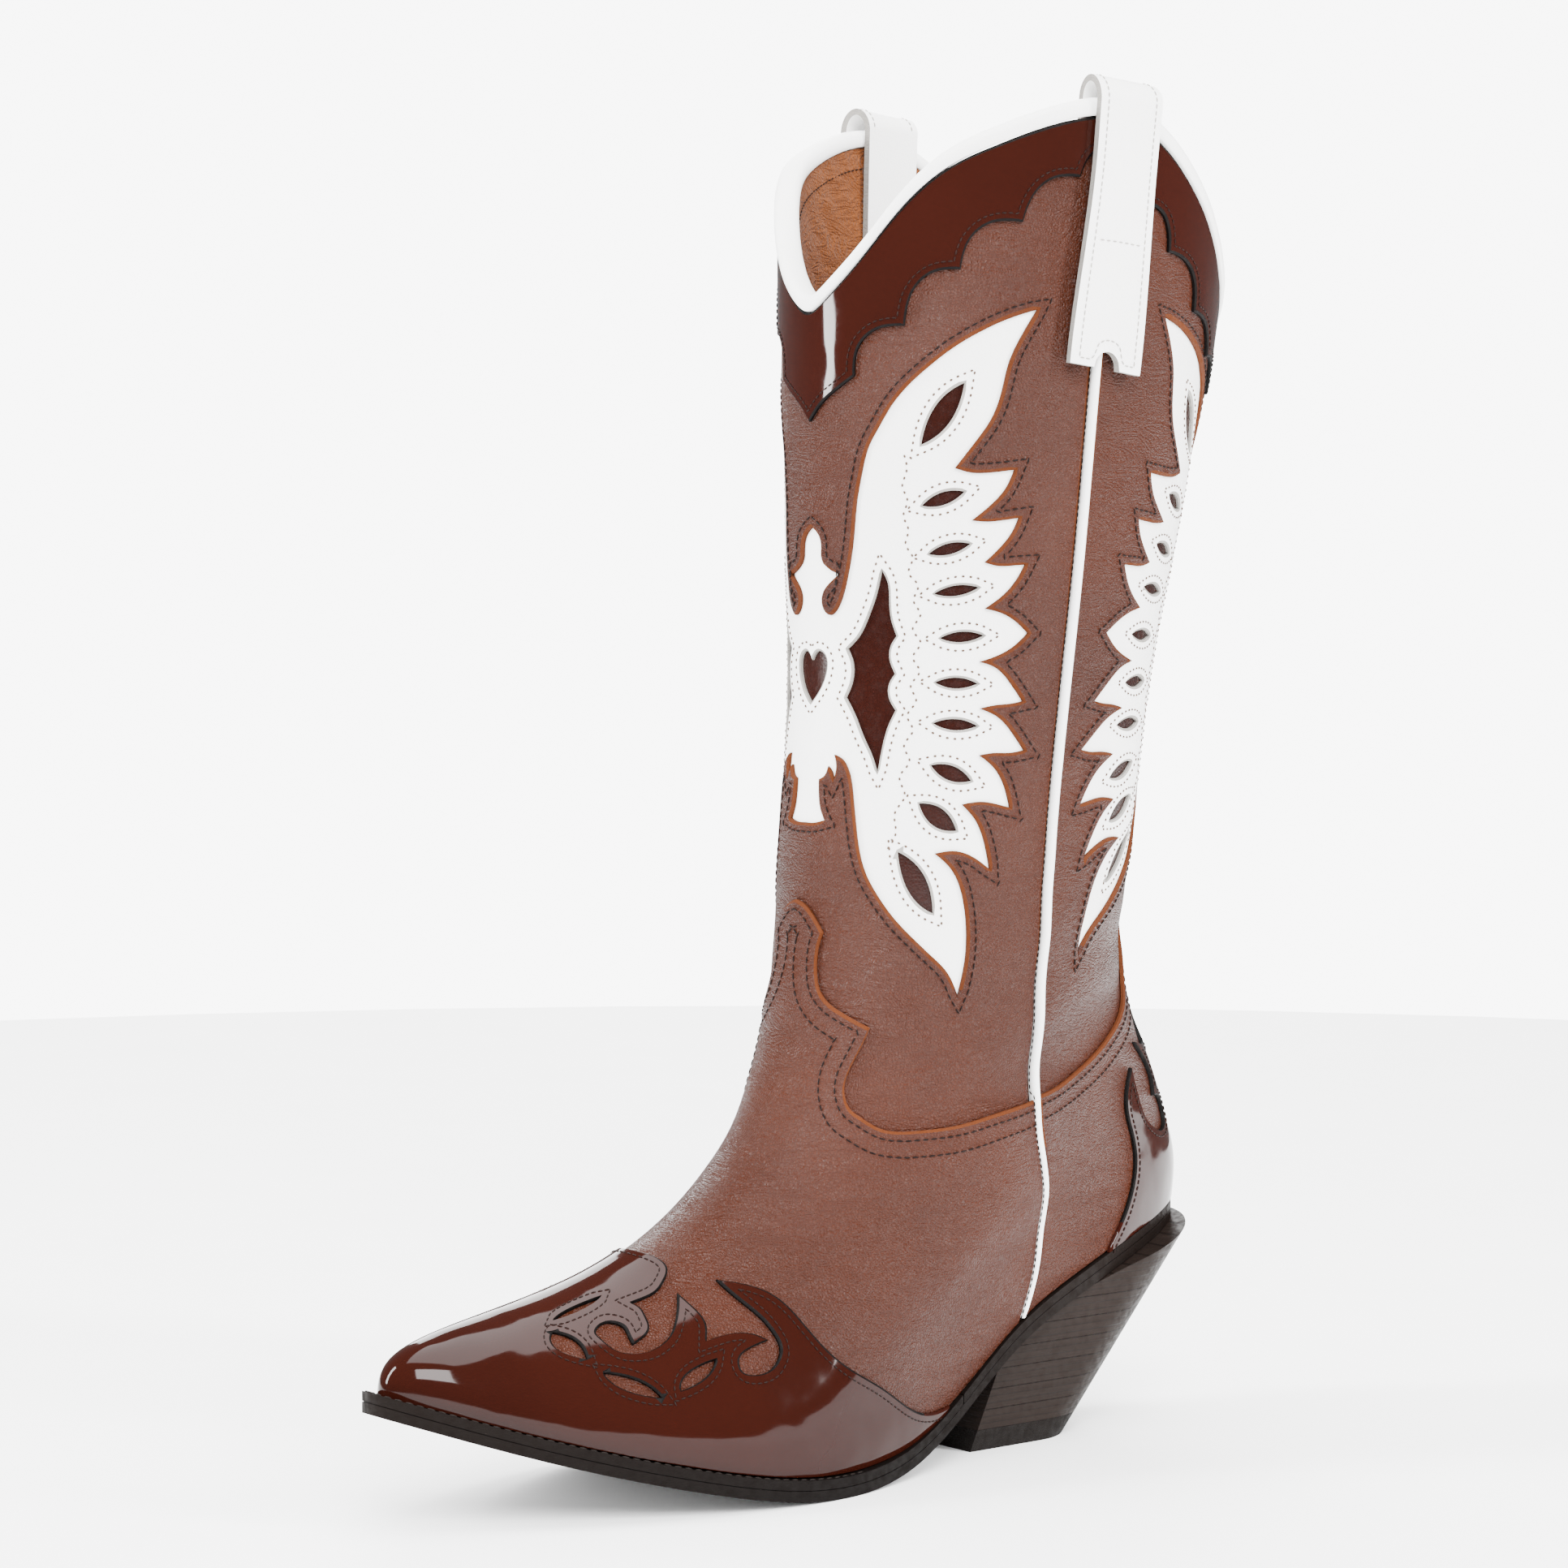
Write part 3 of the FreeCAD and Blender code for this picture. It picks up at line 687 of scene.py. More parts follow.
def grain_group() -> bpy.types.NodeTree:
    """Leather grain: cell borders at the given scale broken up by finer noise; height and pore mask."""
    bench, inp, out = group("leather_grain", {"Scale": 900.0, "Crease": 0.5}, ("Height", "Pores"))
    coord = bench.add("ShaderNodeTexCoord")
    cells = bench.add("ShaderNodeTexVoronoi", feature="DISTANCE_TO_EDGE")
    fine = bench.add("ShaderNodeTexNoise", Detail=4.0)
    finer = bench.add("ShaderNodeMath", operation="MULTIPLY")
    finer.inputs[1].default_value = 1.7
    fold = bench.add("ShaderNodeTexNoise", Scale=62.0, Detail=6.0, Distortion=0.9)
    ridge = bench.add("ShaderNodeMath", operation="PINGPONG")
    ridge.inputs[1].default_value = 0.06
    across = bench.add("ShaderNodeMapping", vector_type="POINT")
    across.inputs["Scale"].default_value = (1.0, 1.0, 2.9)
    bench.link(coord.outputs["Object"], across.inputs["Vector"])
    bench.link(across.outputs[0], fold.inputs["Vector"])
    for node in (cells, fine):
        bench.link(coord.outputs["Object"], node.inputs["Vector"])
    bench.link(inp["Scale"], cells.inputs["Scale"])
    bench.link(inp["Scale"], finer.inputs[0])
    bench.link(finer.outputs[0], fine.inputs["Scale"])
    bench.link(fold.outputs[0], ridge.inputs[0])
    pores = bench.add("ShaderNodeMapRange", From_Min=0.0, From_Max=0.22)
    bench.link(cells.outputs["Distance"], pores.inputs["Value"])
    mix = bench.add("ShaderNodeMath", operation="MULTIPLY_ADD")
    bench.link(fine.outputs[0], mix.inputs[0])
    mix.inputs[1].default_value = 0.55
    bench.link(pores.outputs[0], mix.inputs[2])
    creased = bench.add("ShaderNodeMath", operation="MULTIPLY")
    bench.link(ridge.outputs[0], creased.inputs[0])
    bench.link(inp["Crease"], creased.inputs[1])
    total = bench.add("ShaderNodeMath", operation="MULTIPLY_ADD")
    bench.link(creased.outputs[0], total.inputs[0])
    total.inputs[1].default_value = 18.0
    bench.link(mix.outputs[0], total.inputs[2])
    bench.link(total.outputs[0], out["Height"])
    bench.link(pores.outputs[0], out["Pores"])
    return bench.tree


def mottle_group() -> bpy.types.NodeTree:
    """Uneven dye and surface: broad clouds, small specks and a slow swell, all from 0 to 1."""
    bench, inp, out = group("dye_mottle", {"Scale": 14.0, "Speck_Scale": 420.0, "Swell_Scale": 70.0},
                            ("Cloud", "Speck", "Swell"))
    coord = bench.add("ShaderNodeTexCoord")
    for key, name, low, high in (("Scale", "Cloud", 0.32, 0.7), ("Speck_Scale", "Speck", 0.4, 0.66),
                                 ("Swell_Scale", "Swell", 0.2, 0.8)):
        noise = bench.add("ShaderNodeTexNoise", Detail=1.0 if name == "Swell" else 5.0, Roughness=0.5)
        bench.link(coord.outputs["Object"], noise.inputs["Vector"])
        bench.link(inp[key], noise.inputs["Scale"])
        spread = bench.add("ShaderNodeMapRange", From_Min=low, From_Max=high)
        bench.link(noise.outputs[0], spread.inputs["Value"])
        bench.link(spread.outputs[0], out[name])
    return bench.tree


def layer_group() -> bpy.types.NodeTree:
    """Stacked layers seen from the side: thin dark lines at even heights, and streaks along each layer."""
    bench, inp, out = group("stack_lines", {"Pitch": 0.0022, "Start": 0.0}, ("Line", "Streak"))
    coord = bench.add("ShaderNodeTexCoord")
    parts = bench.add("ShaderNodeSeparateXYZ")
    bench.link(coord.outputs["Object"], parts.inputs[0])
    shift = bench.add("ShaderNodeMath", operation="SUBTRACT")
    bench.link(parts.outputs["Z"], shift.inputs[0])
    bench.link(inp["Start"], shift.inputs[1])
    steps = bench.add("ShaderNodeMath", operation="DIVIDE")
    bench.link(shift.outputs[0], steps.inputs[0])
    bench.link(inp["Pitch"], steps.inputs[1])
    part = bench.add("ShaderNodeMath", operation="FRACT")
    bench.link(steps.outputs[0], part.inputs[0])
    line = bench.add("ShaderNodeMapRange", From_Min=0.0, From_Max=0.16, To_Min=1.0, To_Max=0.0)
    bench.link(part.outputs[0], line.inputs["Value"])
    whole = bench.add("ShaderNodeMath", operation="FLOOR")
    bench.link(steps.outputs[0], whole.inputs[0])
    stretch = bench.add("ShaderNodeMapping", vector_type="POINT")
    stretch.inputs["Scale"].default_value = (1.0, 1.0, 26.0)
    bench.link(coord.outputs["Object"], stretch.inputs[0])
    noise = bench.add("ShaderNodeTexNoise", noise_dimensions="4D", Scale=60.0, Detail=6.0)
    bench.link(stretch.outputs[0], noise.inputs["Vector"])
    bench.link(whole.outputs[0], noise.inputs["W"])
    bench.link(line.outputs[0], out["Line"])
    bench.link(noise.outputs[0], out["Streak"])
    return bench.tree


@dataclass(frozen=True)
class Leather:
    """Dyed leather, plain or patent, and everything else that is cut or spun: colours, gloss and grain.

    Colours are in linear light. The grain's scale is cells per metre, its depth the strength of the bump;
    waviness is the strength of the slow swell under a patent skin, and pore how much darker the pores are.
    """

    name: str
    colour: tuple[float, float, float]
    shade: tuple[float, float, float]
    roughness: float = 0.4
    coat: float = 0.0
    grain_scale: float = 900.0
    grain_depth: float = 0.12
    crease: float = 0.5
    sheen: float = 0.0
    specular: float = 0.5
    waviness: float = 0.0
    pore: float = 0.22

    def material(self) -> bpy.types.Material:
        """Material whose colour clouds between two shades, gloss follows the dye and bump follows the grain."""
        material = bpy.data.materials.new(self.name)
        material.use_nodes = True
        bench = NodeBench(material.node_tree)
        shader = material.node_tree.nodes["Principled BSDF"]
        grain = bench.add("ShaderNodeGroup", node_tree=bpy.data.node_groups["leather_grain"])
        grain.inputs["Scale"].default_value = self.grain_scale
        grain.inputs["Crease"].default_value = self.crease
        mottle = bench.add("ShaderNodeGroup", node_tree=bpy.data.node_groups["dye_mottle"])
        tint = bench.add("ShaderNodeMix", data_type="RGBA")
        tint.inputs[6].default_value = (*self.colour, 1)
        tint.inputs[7].default_value = (*self.shade, 1)
        bench.link(mottle.outputs["Cloud"], tint.inputs[0])
        deep = bench.add("ShaderNodeMix", data_type="RGBA", blend_type="MULTIPLY")
        hollow = bench.add("ShaderNodeMapRange", To_Min=self.pore, To_Max=0.0)
        bench.link(grain.outputs["Pores"], hollow.inputs["Value"])
        bench.link(hollow.outputs[0], deep.inputs[0])
        bench.link(tint.outputs[2], deep.inputs[6])
        deep.inputs[7].default_value = (*(0.5 * c for c in self.shade), 1)
        bench.link(deep.outputs[2], shader.inputs["Base Color"])
        gloss = bench.add("ShaderNodeMapRange", To_Min=self.roughness * 0.86, To_Max=self.roughness * 1.2)
        bench.link(mottle.outputs["Speck"], gloss.inputs["Value"])
        bench.link(gloss.outputs[0], shader.inputs["Roughness"])
        bump = bench.add("ShaderNodeBump", Strength=self.grain_depth, Distance=0.0004)
        bench.link(grain.outputs["Height"], bump.inputs["Height"])
        if self.waviness:
            swell = bench.add("ShaderNodeBump", Strength=self.waviness, Distance=0.0008)
            bench.link(mottle.outputs["Swell"], swell.inputs["Height"])
            bench.link(swell.outputs[0], bump.inputs["Normal"])
        bench.link(bump.outputs[0], shader.inputs["Normal"])
        shader.inputs["Coat Weight"].default_value = self.coat
        shader.inputs["Coat Roughness"].default_value = COAT_ROUGHNESS
        shader.inputs["Sheen Weight"].default_value = self.sheen
        shader.inputs["Specular IOR Level"].default_value = self.specular
        return material


@dataclass(frozen=True)
class Stack:
    """Layered edge of sole or heel: two colours, line pitch in metres and gloss."""

    name: str
    colour: tuple[float, float, float]
    line: tuple[float, float, float]
    pitch: float
    roughness: float
    depth: float

    def material(self) -> bpy.types.Material:
        """Material with dark lines between layers and streaks along them, both in colour and bump."""
        material = bpy.data.materials.new(self.name)
        material.use_nodes = True
        bench = NodeBench(material.node_tree)
        shader = material.node_tree.nodes["Principled BSDF"]
        lines = bench.add("ShaderNodeGroup", node_tree=bpy.data.node_groups["stack_lines"])
        lines.inputs["Pitch"].default_value = self.pitch
        mottle = bench.add("ShaderNodeGroup", node_tree=bpy.data.node_groups["dye_mottle"])
        streak = bench.add("ShaderNodeMix", data_type="RGBA")
        streak.inputs[6].default_value = (*self.colour, 1)
        streak.inputs[7].default_value = (*(1.7 * c for c in self.colour), 1)
        bench.link(lines.outputs["Streak"], streak.inputs[0])
        lined = bench.add("ShaderNodeMix", data_type="RGBA")
        bench.link(lines.outputs["Line"], lined.inputs[0])
        bench.link(streak.outputs[2], lined.inputs[6])
        lined.inputs[7].default_value = (*self.line, 1)
        bench.link(lined.outputs[2], shader.inputs["Base Color"])
        gloss = bench.add("ShaderNodeMapRange", To_Min=self.roughness * 0.85, To_Max=self.roughness * 1.25)
        bench.link(mottle.outputs["Speck"], gloss.inputs["Value"])
        bench.link(gloss.outputs[0], shader.inputs["Roughness"])
        height = bench.add("ShaderNodeMath", operation="SUBTRACT")
        bench.link(lines.outputs["Streak"], height.inputs[0])
        bench.link(lines.outputs["Line"], height.inputs[1])
        bump = bench.add("ShaderNodeBump", Strength=self.depth, Distance=0.0003)
        bench.link(height.outputs[0], bump.inputs["Height"])
        bench.link(bump.outputs[0], shader.inputs["Normal"])
        shader.inputs["Specular IOR Level"].default_value = 0.06
        return material


@dataclass
class Wardrobe:
    """Every finish of the boot, made once."""

    made: dict[str, bpy.types.Material] = field(default_factory=dict)

    def __post_init__(self) -> None:
        """Build the shared groups, then the materials."""
        grain_group()
        mottle_group()
        layer_group()
        for finish in FINISHES:
            self.made[finish.name] = finish.material()

    def __getitem__(self, name: str) -> bpy.types.Material:
        """Material by finish name."""
        return self.made[name]


FINISHES = (
    Leather("calf_brown", (0.0425, 0.0093, 0.0031), (0.0285, 0.0060, 0.0020), roughness=0.36,
            grain_scale=1200, grain_depth=0.55, crease=1.3, specular=0.18),
    Leather("calf_edge", (0.085, 0.0215, 0.0052), (0.055, 0.0135, 0.0034), roughness=0.75,
            grain_scale=2600, grain_depth=0.4, specular=0.10),
    Leather("patent_collar", (0.0165, 0.0030, 0.0016), (0.0130, 0.0024, 0.0013), roughness=0.07,
            grain_depth=0.0, crease=0.0, specular=0.26, waviness=0.30, pore=0.0),
    Leather("patent_cap", (0.0160, 0.0030, 0.0016), (0.0125, 0.0024, 0.0013), roughness=0.07,
            grain_depth=0.0, crease=0.0, specular=0.16, waviness=0.30, pore=0.0),
    Leather("patent_edge", (0.0028, 0.0019, 0.0017), (0.0018, 0.0013, 0.0012), roughness=0.6, specular=0.08),
    Leather("kid_white", (0.93, 0.925, 0.915), (0.90, 0.895, 0.885), roughness=0.42, coat=0.05,
            grain_scale=1300, grain_depth=0.14, crease=0.25, specular=0.3, pore=0.05),
    Leather("kid_edge", (0.36, 0.34, 0.315), (0.22, 0.205, 0.185), roughness=0.8, grain_scale=2400,
            grain_depth=0.6),
    Leather("backing_dark", (0.0160, 0.0028, 0.0014), (0.0125, 0.0022, 0.0011), roughness=0.25,
            grain_depth=0.05, specular=0.18),
    Leather("lining_tan", (0.170, 0.050, 0.0095), (0.112, 0.031, 0.0055), roughness=0.5, grain_scale=800,
            grain_depth=0.55, crease=2.4, sheen=0.05, specular=0.12),
    Leather("thread_brown", (0.0052, 0.0015, 0.0008), (0.0040, 0.0011, 0.0006), roughness=0.55,
            grain_scale=3000, grain_depth=0.3, specular=0.12),
    Leather("thread_cap", (0.0100, 0.0030, 0.0017), (0.0070, 0.0021, 0.0012), roughness=0.5,
            grain_scale=3000, grain_depth=0.3, specular=0.12),
    Leather("thread_welt", (0.0090, 0.0056, 0.0042), (0.0064, 0.0040, 0.0030), roughness=0.6,
            grain_scale=3000, grain_depth=0.3, specular=0.12),
    Leather("thread_dot", (0.100, 0.060, 0.041), (0.070, 0.042, 0.030), roughness=0.6,
            grain_scale=3000, grain_depth=0.3, specular=0.2),
    Leather("thread_white", (0.40, 0.38, 0.35), (0.32, 0.30, 0.27), roughness=0.6, grain_scale=3000,
            grain_depth=0.3),
    Leather("insole_card", (0.20, 0.11, 0.05), (0.15, 0.08, 0.04), roughness=0.8, grain_scale=700,
            grain_depth=0.4),
    Leather("cork", (0.20, 0.10, 0.04), (0.11, 0.05, 0.02), roughness=0.9, grain_scale=350, grain_depth=0.8),
    Leather("steel", (0.25, 0.25, 0.26), (0.20, 0.20, 0.21), roughness=0.35, grain_scale=500,
            grain_depth=0.1),
    Leather("rubber", (0.0085, 0.0065, 0.0055), (0.0060, 0.0047, 0.0041), roughness=0.7, grain_scale=1800,
            grain_depth=0.4, specular=0.08),
    Stack("sole_edge", (0.0050, 0.0031, 0.0024), (0.0022, 0.0014, 0.0011), pitch=0.5, roughness=0.6,
          depth=0.12),
    Stack("heel_stack", (0.0078, 0.0052, 0.0042), (0.0030, 0.0020, 0.0016), pitch=0.0020, roughness=0.5,
          depth=0.3),
)

NODE_SLOTS = {
    "toe_puff": "stiffener", "counter_stiffener": "stiffener", "vamp_lining": "lining_leather",
    "heel_lining": "lining_leather", "sock_liner": "lining_leather", "insole_board": "insole",
    "cork_filler": "cork", "shank": "steel", "heel_screw": "steel", "heel_nails": "steel",
    "welt": "sole_leather", "heel_rand": "sole_leather", "outsole": "sole_leather",
    "heel_lifts": "heel_stack", "top_lift": "top_lift",
}

SLOT_FINISH = {
    "panel_leather": "calf_brown", "white_leather": "kid_white", "backing_patent": "backing_dark",
    "collar_patent": "patent_collar", "cap_patent": "patent_cap", "lining_leather": "lining_tan",
    "stiffener": "insole_card", "insole": "insole_card", "cork": "cork", "steel": "steel",
    "sole_leather": "sole_edge", "heel_stack": "heel_stack", "top_lift": "rubber",
}


@dataclass
class Fitter:
    """Hangs finished shapes on the frame and reports them."""

    finishes: Wardrobe

    def fit(
        self,
        shape: Shape,
        name: str,
        finishes: tuple[str, ...],
        replaces: tuple[str, ...] = (),
        body: str | None = "boot",
        sharp: float = 38.0,
    ) -> bpy.types.Object:
        """Make the object, ride it on its body, and hide the CAD nodes it stands for.

        Args:
            shape: the mesh.
            name: object name.
            finishes: finish names in the order of the shape's slot numbers.
            replaces: CAD nodes that aren't shown.
            body: body it rides on, or None for a piece that rides on none.
            sharp: angle in degrees past which an edge is shaded sharp.

        Returns:
            The object.
        """
        piece = shape.object(name, [self.finishes[f] for f in finishes], sharp)
        if body is not None:
            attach(piece, body)
        if replaces:
            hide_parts(*replaces)
        log.info("%s: %d triangles", name, len(shape.faces))
        return piece


# ---- the shaft -------------------------------------------------------------------------------
@dataclass
class WingInlay:
    """Outline of the spread wings with their cut-outs, in thousandths of turn and level on one half panel."""

    front_edge: Run = (
        (186, 880), (166, 875), (146, 868), (128, 860), (112, 851), (95, 840), (81, 828), (71, 816), (62, 804),
        (56, 787), (52, 770), (50, 751), (48, 730), (45, 713), (41, 696), (36, 684), (27, 676), (18, 681),
        (16, 694), (25, 704), (35, 711),
    )
    crown: tuple[Run, ...] = (
        ((35, 711), (26, 714), (16, 720)),
        ((16, 720), (13, 726), (13, 733), (9, 743), (0, 749)),
    )
    feathers: tuple[Run, ...] = (
        ((186, 880), (175, 865), (168, 852), (164, 836), (158, 821), (149, 809), (133, 790)),
        ((133, 790), (145, 787), (160, 787), (178, 789)), ((178, 789), (173, 777), (163, 765), (149, 753)),
        ((149, 753), (160, 752), (172, 753), (185, 755)), ((185, 755), (181, 744), (173, 732), (162, 720)),
        ((162, 720), (172, 717), (182, 717), (194, 718)), ((194, 718), (189, 706), (180, 693), (166, 681)),
        ((166, 681), (180, 677), (192, 670), (203, 660)), ((203, 660), (194, 650), (182, 642), (166, 636)),
        ((166, 636), (180, 631), (192, 620), (205, 604)), ((205, 604), (195, 602), (184, 601), (170, 598)),
        ((170, 598), (186, 591), (199, 579), (211, 565)), ((211, 565), (198, 563), (186, 563), (173, 561)),
        ((173, 561), (187, 551), (197, 537), (204, 520)), ((204, 520), (192, 523), (178, 525), (162, 523)),
        ((162, 523), (174, 512), (184, 495), (192, 473)), ((192, 473), (178, 482), (161, 488), (142, 487)),
        ((142, 487), (158, 475), (171, 455), (178, 435), (181, 415), (180, 394)),
    )
    lower_edge: tuple[Run, ...] = (
        ((180, 394), (168, 408), (151, 420), (132, 432), (111, 446), (93, 461), (80, 475), (72, 490), (67, 508),
         (63, 527), (57, 547), (48, 557), (39, 560)),
        ((39, 560), (42, 552), (40, 541)), ((40, 541), (37, 547), (32, 551)), ((32, 551), (28, 544), (20, 541)),
        ((20, 541), (21, 528), (24, 519), (30, 511)), ((30, 511), (15, 509), (0, 509)),
    )
    lenses: tuple = (
        ((137, 841), (106, 805), 5.4), ((142, 774), (109, 764), 3.4), ((150, 735), (117, 727), 3.3),
        ((160, 699), (124, 694), 3.3), ((168, 658), (132, 656), 3.3), ((167, 618), (131, 619), 3.3),
        ((170, 584), (132, 586), 3.3), ((169, 541), (133, 553), 4.2), ((160, 503), (125, 524), 5.2),
        ((147, 446), (109, 489), 5.9),
    )
    body_cut: tuple[Run, ...] = (
        ((77, 714), (83, 703), (85, 690), (88, 672), (94, 658)), ((94, 658), (89, 649), (89, 638), (95, 626)),
        ((95, 626), (90, 617), (91, 606), (98, 596)), ((98, 596), (92, 583), (88, 567), (85, 547)),
        ((85, 547), (78, 561), (69, 574), (58, 592), (47, 606)), ((47, 606), (52, 616), (52, 637), (46, 647)),
        ((46, 647), (57, 657), (66, 674), (73, 694), (77, 714)),
    )
    heart: tuple[Run, ...] = (((0, 637), (9, 645), (20, 640), (21, 626), (12, 611), (0, 601)),)
    quill_line: Run = (
        (92, 800), (95, 787), (92, 778), (97, 768), (94, 757), (99, 746), (97, 735), (104, 724), (101, 712),
        (110, 701), (107, 688), (114, 676), (108, 664), (116, 652), (110, 640), (117, 628), (110, 616),
        (116, 604), (109, 592), (115, 580), (108, 568), (114, 556), (106, 544), (112, 530), (104, 517),
        (106, 503), (98, 490),
    )

    def fit_half(self, path: np.ndarray, half: Half) -> np.ndarray:
        """Path moved from the front half panel to the given one, a little wider on the back."""
        if half is Half.FRONT:
            return path
        return np.stack([0.5 - path[:, 0] * 1.1, path[:, 1]], 1)

    def window(self, half: Half) -> np.ndarray:
        """Closed loop of the whole opening in the brown leather.

        Args:
            half: front or back half of the shaft.

        Returns:
            Turns and levels.
        """
        right = trace((self.front_edge[::-1],), SHAFT_CHART, 1.2)
        top = trace(tuple(run[::-1] for run in self.crown[::-1]), SHAFT_CHART, 1.2)
        feathers = trace(self.feathers, SHAFT_CHART, 1.2)
        low = trace(self.lower_edge, SHAFT_CHART, 1.2)
        path = np.concatenate([top[:-1], right[:-1], feathers[:-1], low])
        path[[0, -1], 0] = 0
        loop = both_sides(path)
        return self.fit_half(loop, half)

    def cut_outs(self, half: Half) -> list[np.ndarray]:
        """Closed loops of the openings in the white leather.

        Args:
            half: front or back half of the shaft.

        Returns:
            Turns and levels of each loop.
        """
        loops = []
        body = trace(self.body_cut, SHAFT_CHART, 1.2)[:-1]
        heart = trace(self.heart, SHAFT_CHART, 1.0)
        heart[[0, -1], 0] = 0
        for side in (1, -1):
            loops += [lens(a, b, w, SHAFT_CHART) * (side, 1) for a, b, w in self.lenses]
            loops.append(body * (side, 1))
        loops.append(both_sides(heart))
        return [self.fit_half(loop, half) for loop in loops]

    def outward(self, loop: np.ndarray, mm: float) -> np.ndarray:
        """Closed loop carried outwards over the form by a distance in mm."""
        after = np.roll(loop, -1, 0)
        area = (loop[:, 0] * after[:, 1] - after[:, 0] * loop[:, 1]).sum()
        return FORM.shift(loop, -mm if area > 0 else mm, closed=True)

    def panel_stitches(self, half: Half) -> Shape:
        """Row round the opening on the brown leather."""
        window = self.window(half)
        row = self.outward(window, 2.6)
        row = row[~in_loops(row, window, np.roll(window, -1, 0))]
        return SEAM_THREAD.on_form(row, 0.0, closed=True)

    def dots(self, half: Half) -> Shape:
        """Dotted rings round the openings of the white leather, and the dotted quill line beside them."""
        rows = [DOT_THREAD.on_form(self.outward(loop, 2.4), -1.25, closed=True) for loop in self.cut_outs(half)]
        quill = trace((self.quill_line,), SHAFT_CHART, 1.0)
        for side in (1, -1):
            rows.append(DOT_THREAD.on_form(self.fit_half(quill * (side, 1), half), -1.25))
        return merge(rows)


@dataclass
class Shaft:
    """Front and back panels with their inlays, backing and lining."""

    wing: WingInlay = field(default_factory=WingInlay)
    seam_gap: float = 1.3 / 88
    facing_drop: float = 0.019  # level from the rim down to the facing's row
    foot_tuck: float = 0.035  # level that a panel goes down under vamp and counter
    inlay_span: float = 0.92  # share of the half that the white sheet covers
    inlay_low: float = 0.383  # level of the white sheet's lower edge
    lining_span: float = 0.997
    backing_faces: tuple[float, float] = (-2.35, -3.3)  # offsets in mm of the outer and inner face
    lining_faces: tuple[float, float] = (-3.5, -4.6)
    facing_row: float = -4.75
    topline: dict = field(default_factory=lambda: {
        Half.FRONT: Spline((0, .12, .24, .36, .5, .64, .8, .94, 1),
                           (.884, .898, .915, .936, .955, .966, .976, .981, .981)),
        Half.BACK: Spline((0, .19, .34, .49, .62, .75, .89, 1),
                          (.874, .882, .897, .915, .936, .956, .974, .981)),
    })
    foot_edge: dict = field(default_factory=lambda: {
        Half.FRONT: Spline((0, .12, .24, .36, .48, .60, .8, 1),
                           (.458, .42, .398, .36, .332, .319, .310, .303)),
        Half.BACK: Spline((0, .17, .29, .50, .65, .80, 1), (.445, .385, .330, .302, .295, .297, .303)),
    })

    def turn(self, half: Half, share: np.ndarray, level: np.ndarray) -> np.ndarray:
        """Turn of a place on a half, share -1 to 1 rising with the turn."""
        if half is Half.FRONT:
            return share * FORM.seam(level)
        return 0.5 + share * (0.5 - FORM.seam(level))

    def rim(self, half: Half, share: np.ndarray) -> np.ndarray:
        """Level of the rim: the topline of the share's size, with its dip in the middle rounded off."""
        return self.topline[half](np.sqrt(share * share + 0.05**2) - 0.012)

    def grid(self, half: Half, span: float, hem: float, size: tuple[int, int]) -> tuple[np.ndarray, np.ndarray]:
        """Turns and levels of a grid over a half, from its foot edge to under the rim.

        Args:
            half: front or back half of the shaft.
            span: how far it reaches from the middle, as a share of the half.
            hem: level from the rim down to the upper edge.
            size: columns and rows.

        Returns:
            Turns and levels.
        """
        share = np.linspace(-span, span, size[0])[:, None]
        part = np.linspace(0, 1, size[1])[None, :]
        bottom = self.foot_edge[half](np.abs(share))
        top = self.rim(half, share) - hem
        level = bottom + (top - bottom) * part
        return self.turn(half, share, level), level

    def border(self, half: Half, span: float, tuck: float, hem: float, pitch: float = 1.6) -> np.ndarray:
        """Closed loop round a panel, anticlockwise from its lower left corner.

        Args:
            half: front or back half of the shaft.
            span: how far it reaches from the middle, as a share of the half.
            tuck: level that the lower edge goes under the vamp.
            hem: level from the rim down to the upper edge.
            pitch: distance between points in mm.

        Returns:
            Turns and levels.
        """
        share = np.linspace(-span, span, int(190 / pitch))
        low = self.foot_edge[half](np.abs(share)) - tuck
        high = self.rim(half, share) - hem
        rise = np.linspace(low[-1], high[-1], int(240 / pitch))[1:-1]
        loops = [
            np.stack([self.turn(half, share, low), low], 1),
            np.stack([self.turn(half, np.full_like(rise, span), rise), rise], 1),
            np.stack([self.turn(half, share, high), high], 1)[::-1],
            np.stack([self.turn(half, np.full_like(rise, -span), rise), rise], 1)[::-1],
        ]
        return np.concatenate(loops)

    def build(self, fitter: Fitter) -> None:
        """Make the layers of both halves, from the outside in.

        Args:
            fitter: puts each mesh into the scene as a piece.
        """
        for half in Half:
            side = half.name.lower()
            loops = [self.border(half, 1 - self.seam_gap, self.foot_tuck, HEM), self.wing.window(half)]
            panel = cut_sheet(loops, SHAFT_CHART, 3.2, 0.0, -1.2, 0.85, 0.5, raw_above=0.4)
            fitter.fit(panel, f"shaft_leather_{side}", ("calf_brown", "calf_edge"),
                       (f"shaft_{side}_panel",))
            self.inlay(fitter, half, side)
            self.lining(fitter, half, side)
            fitter.fit(self.wing.panel_stitches(half), f"wing_seam_{side}", ("thread_brown",))
            fitter.fit(self.wing.dots(half), f"wing_dots_{side}", ("thread_dot",))

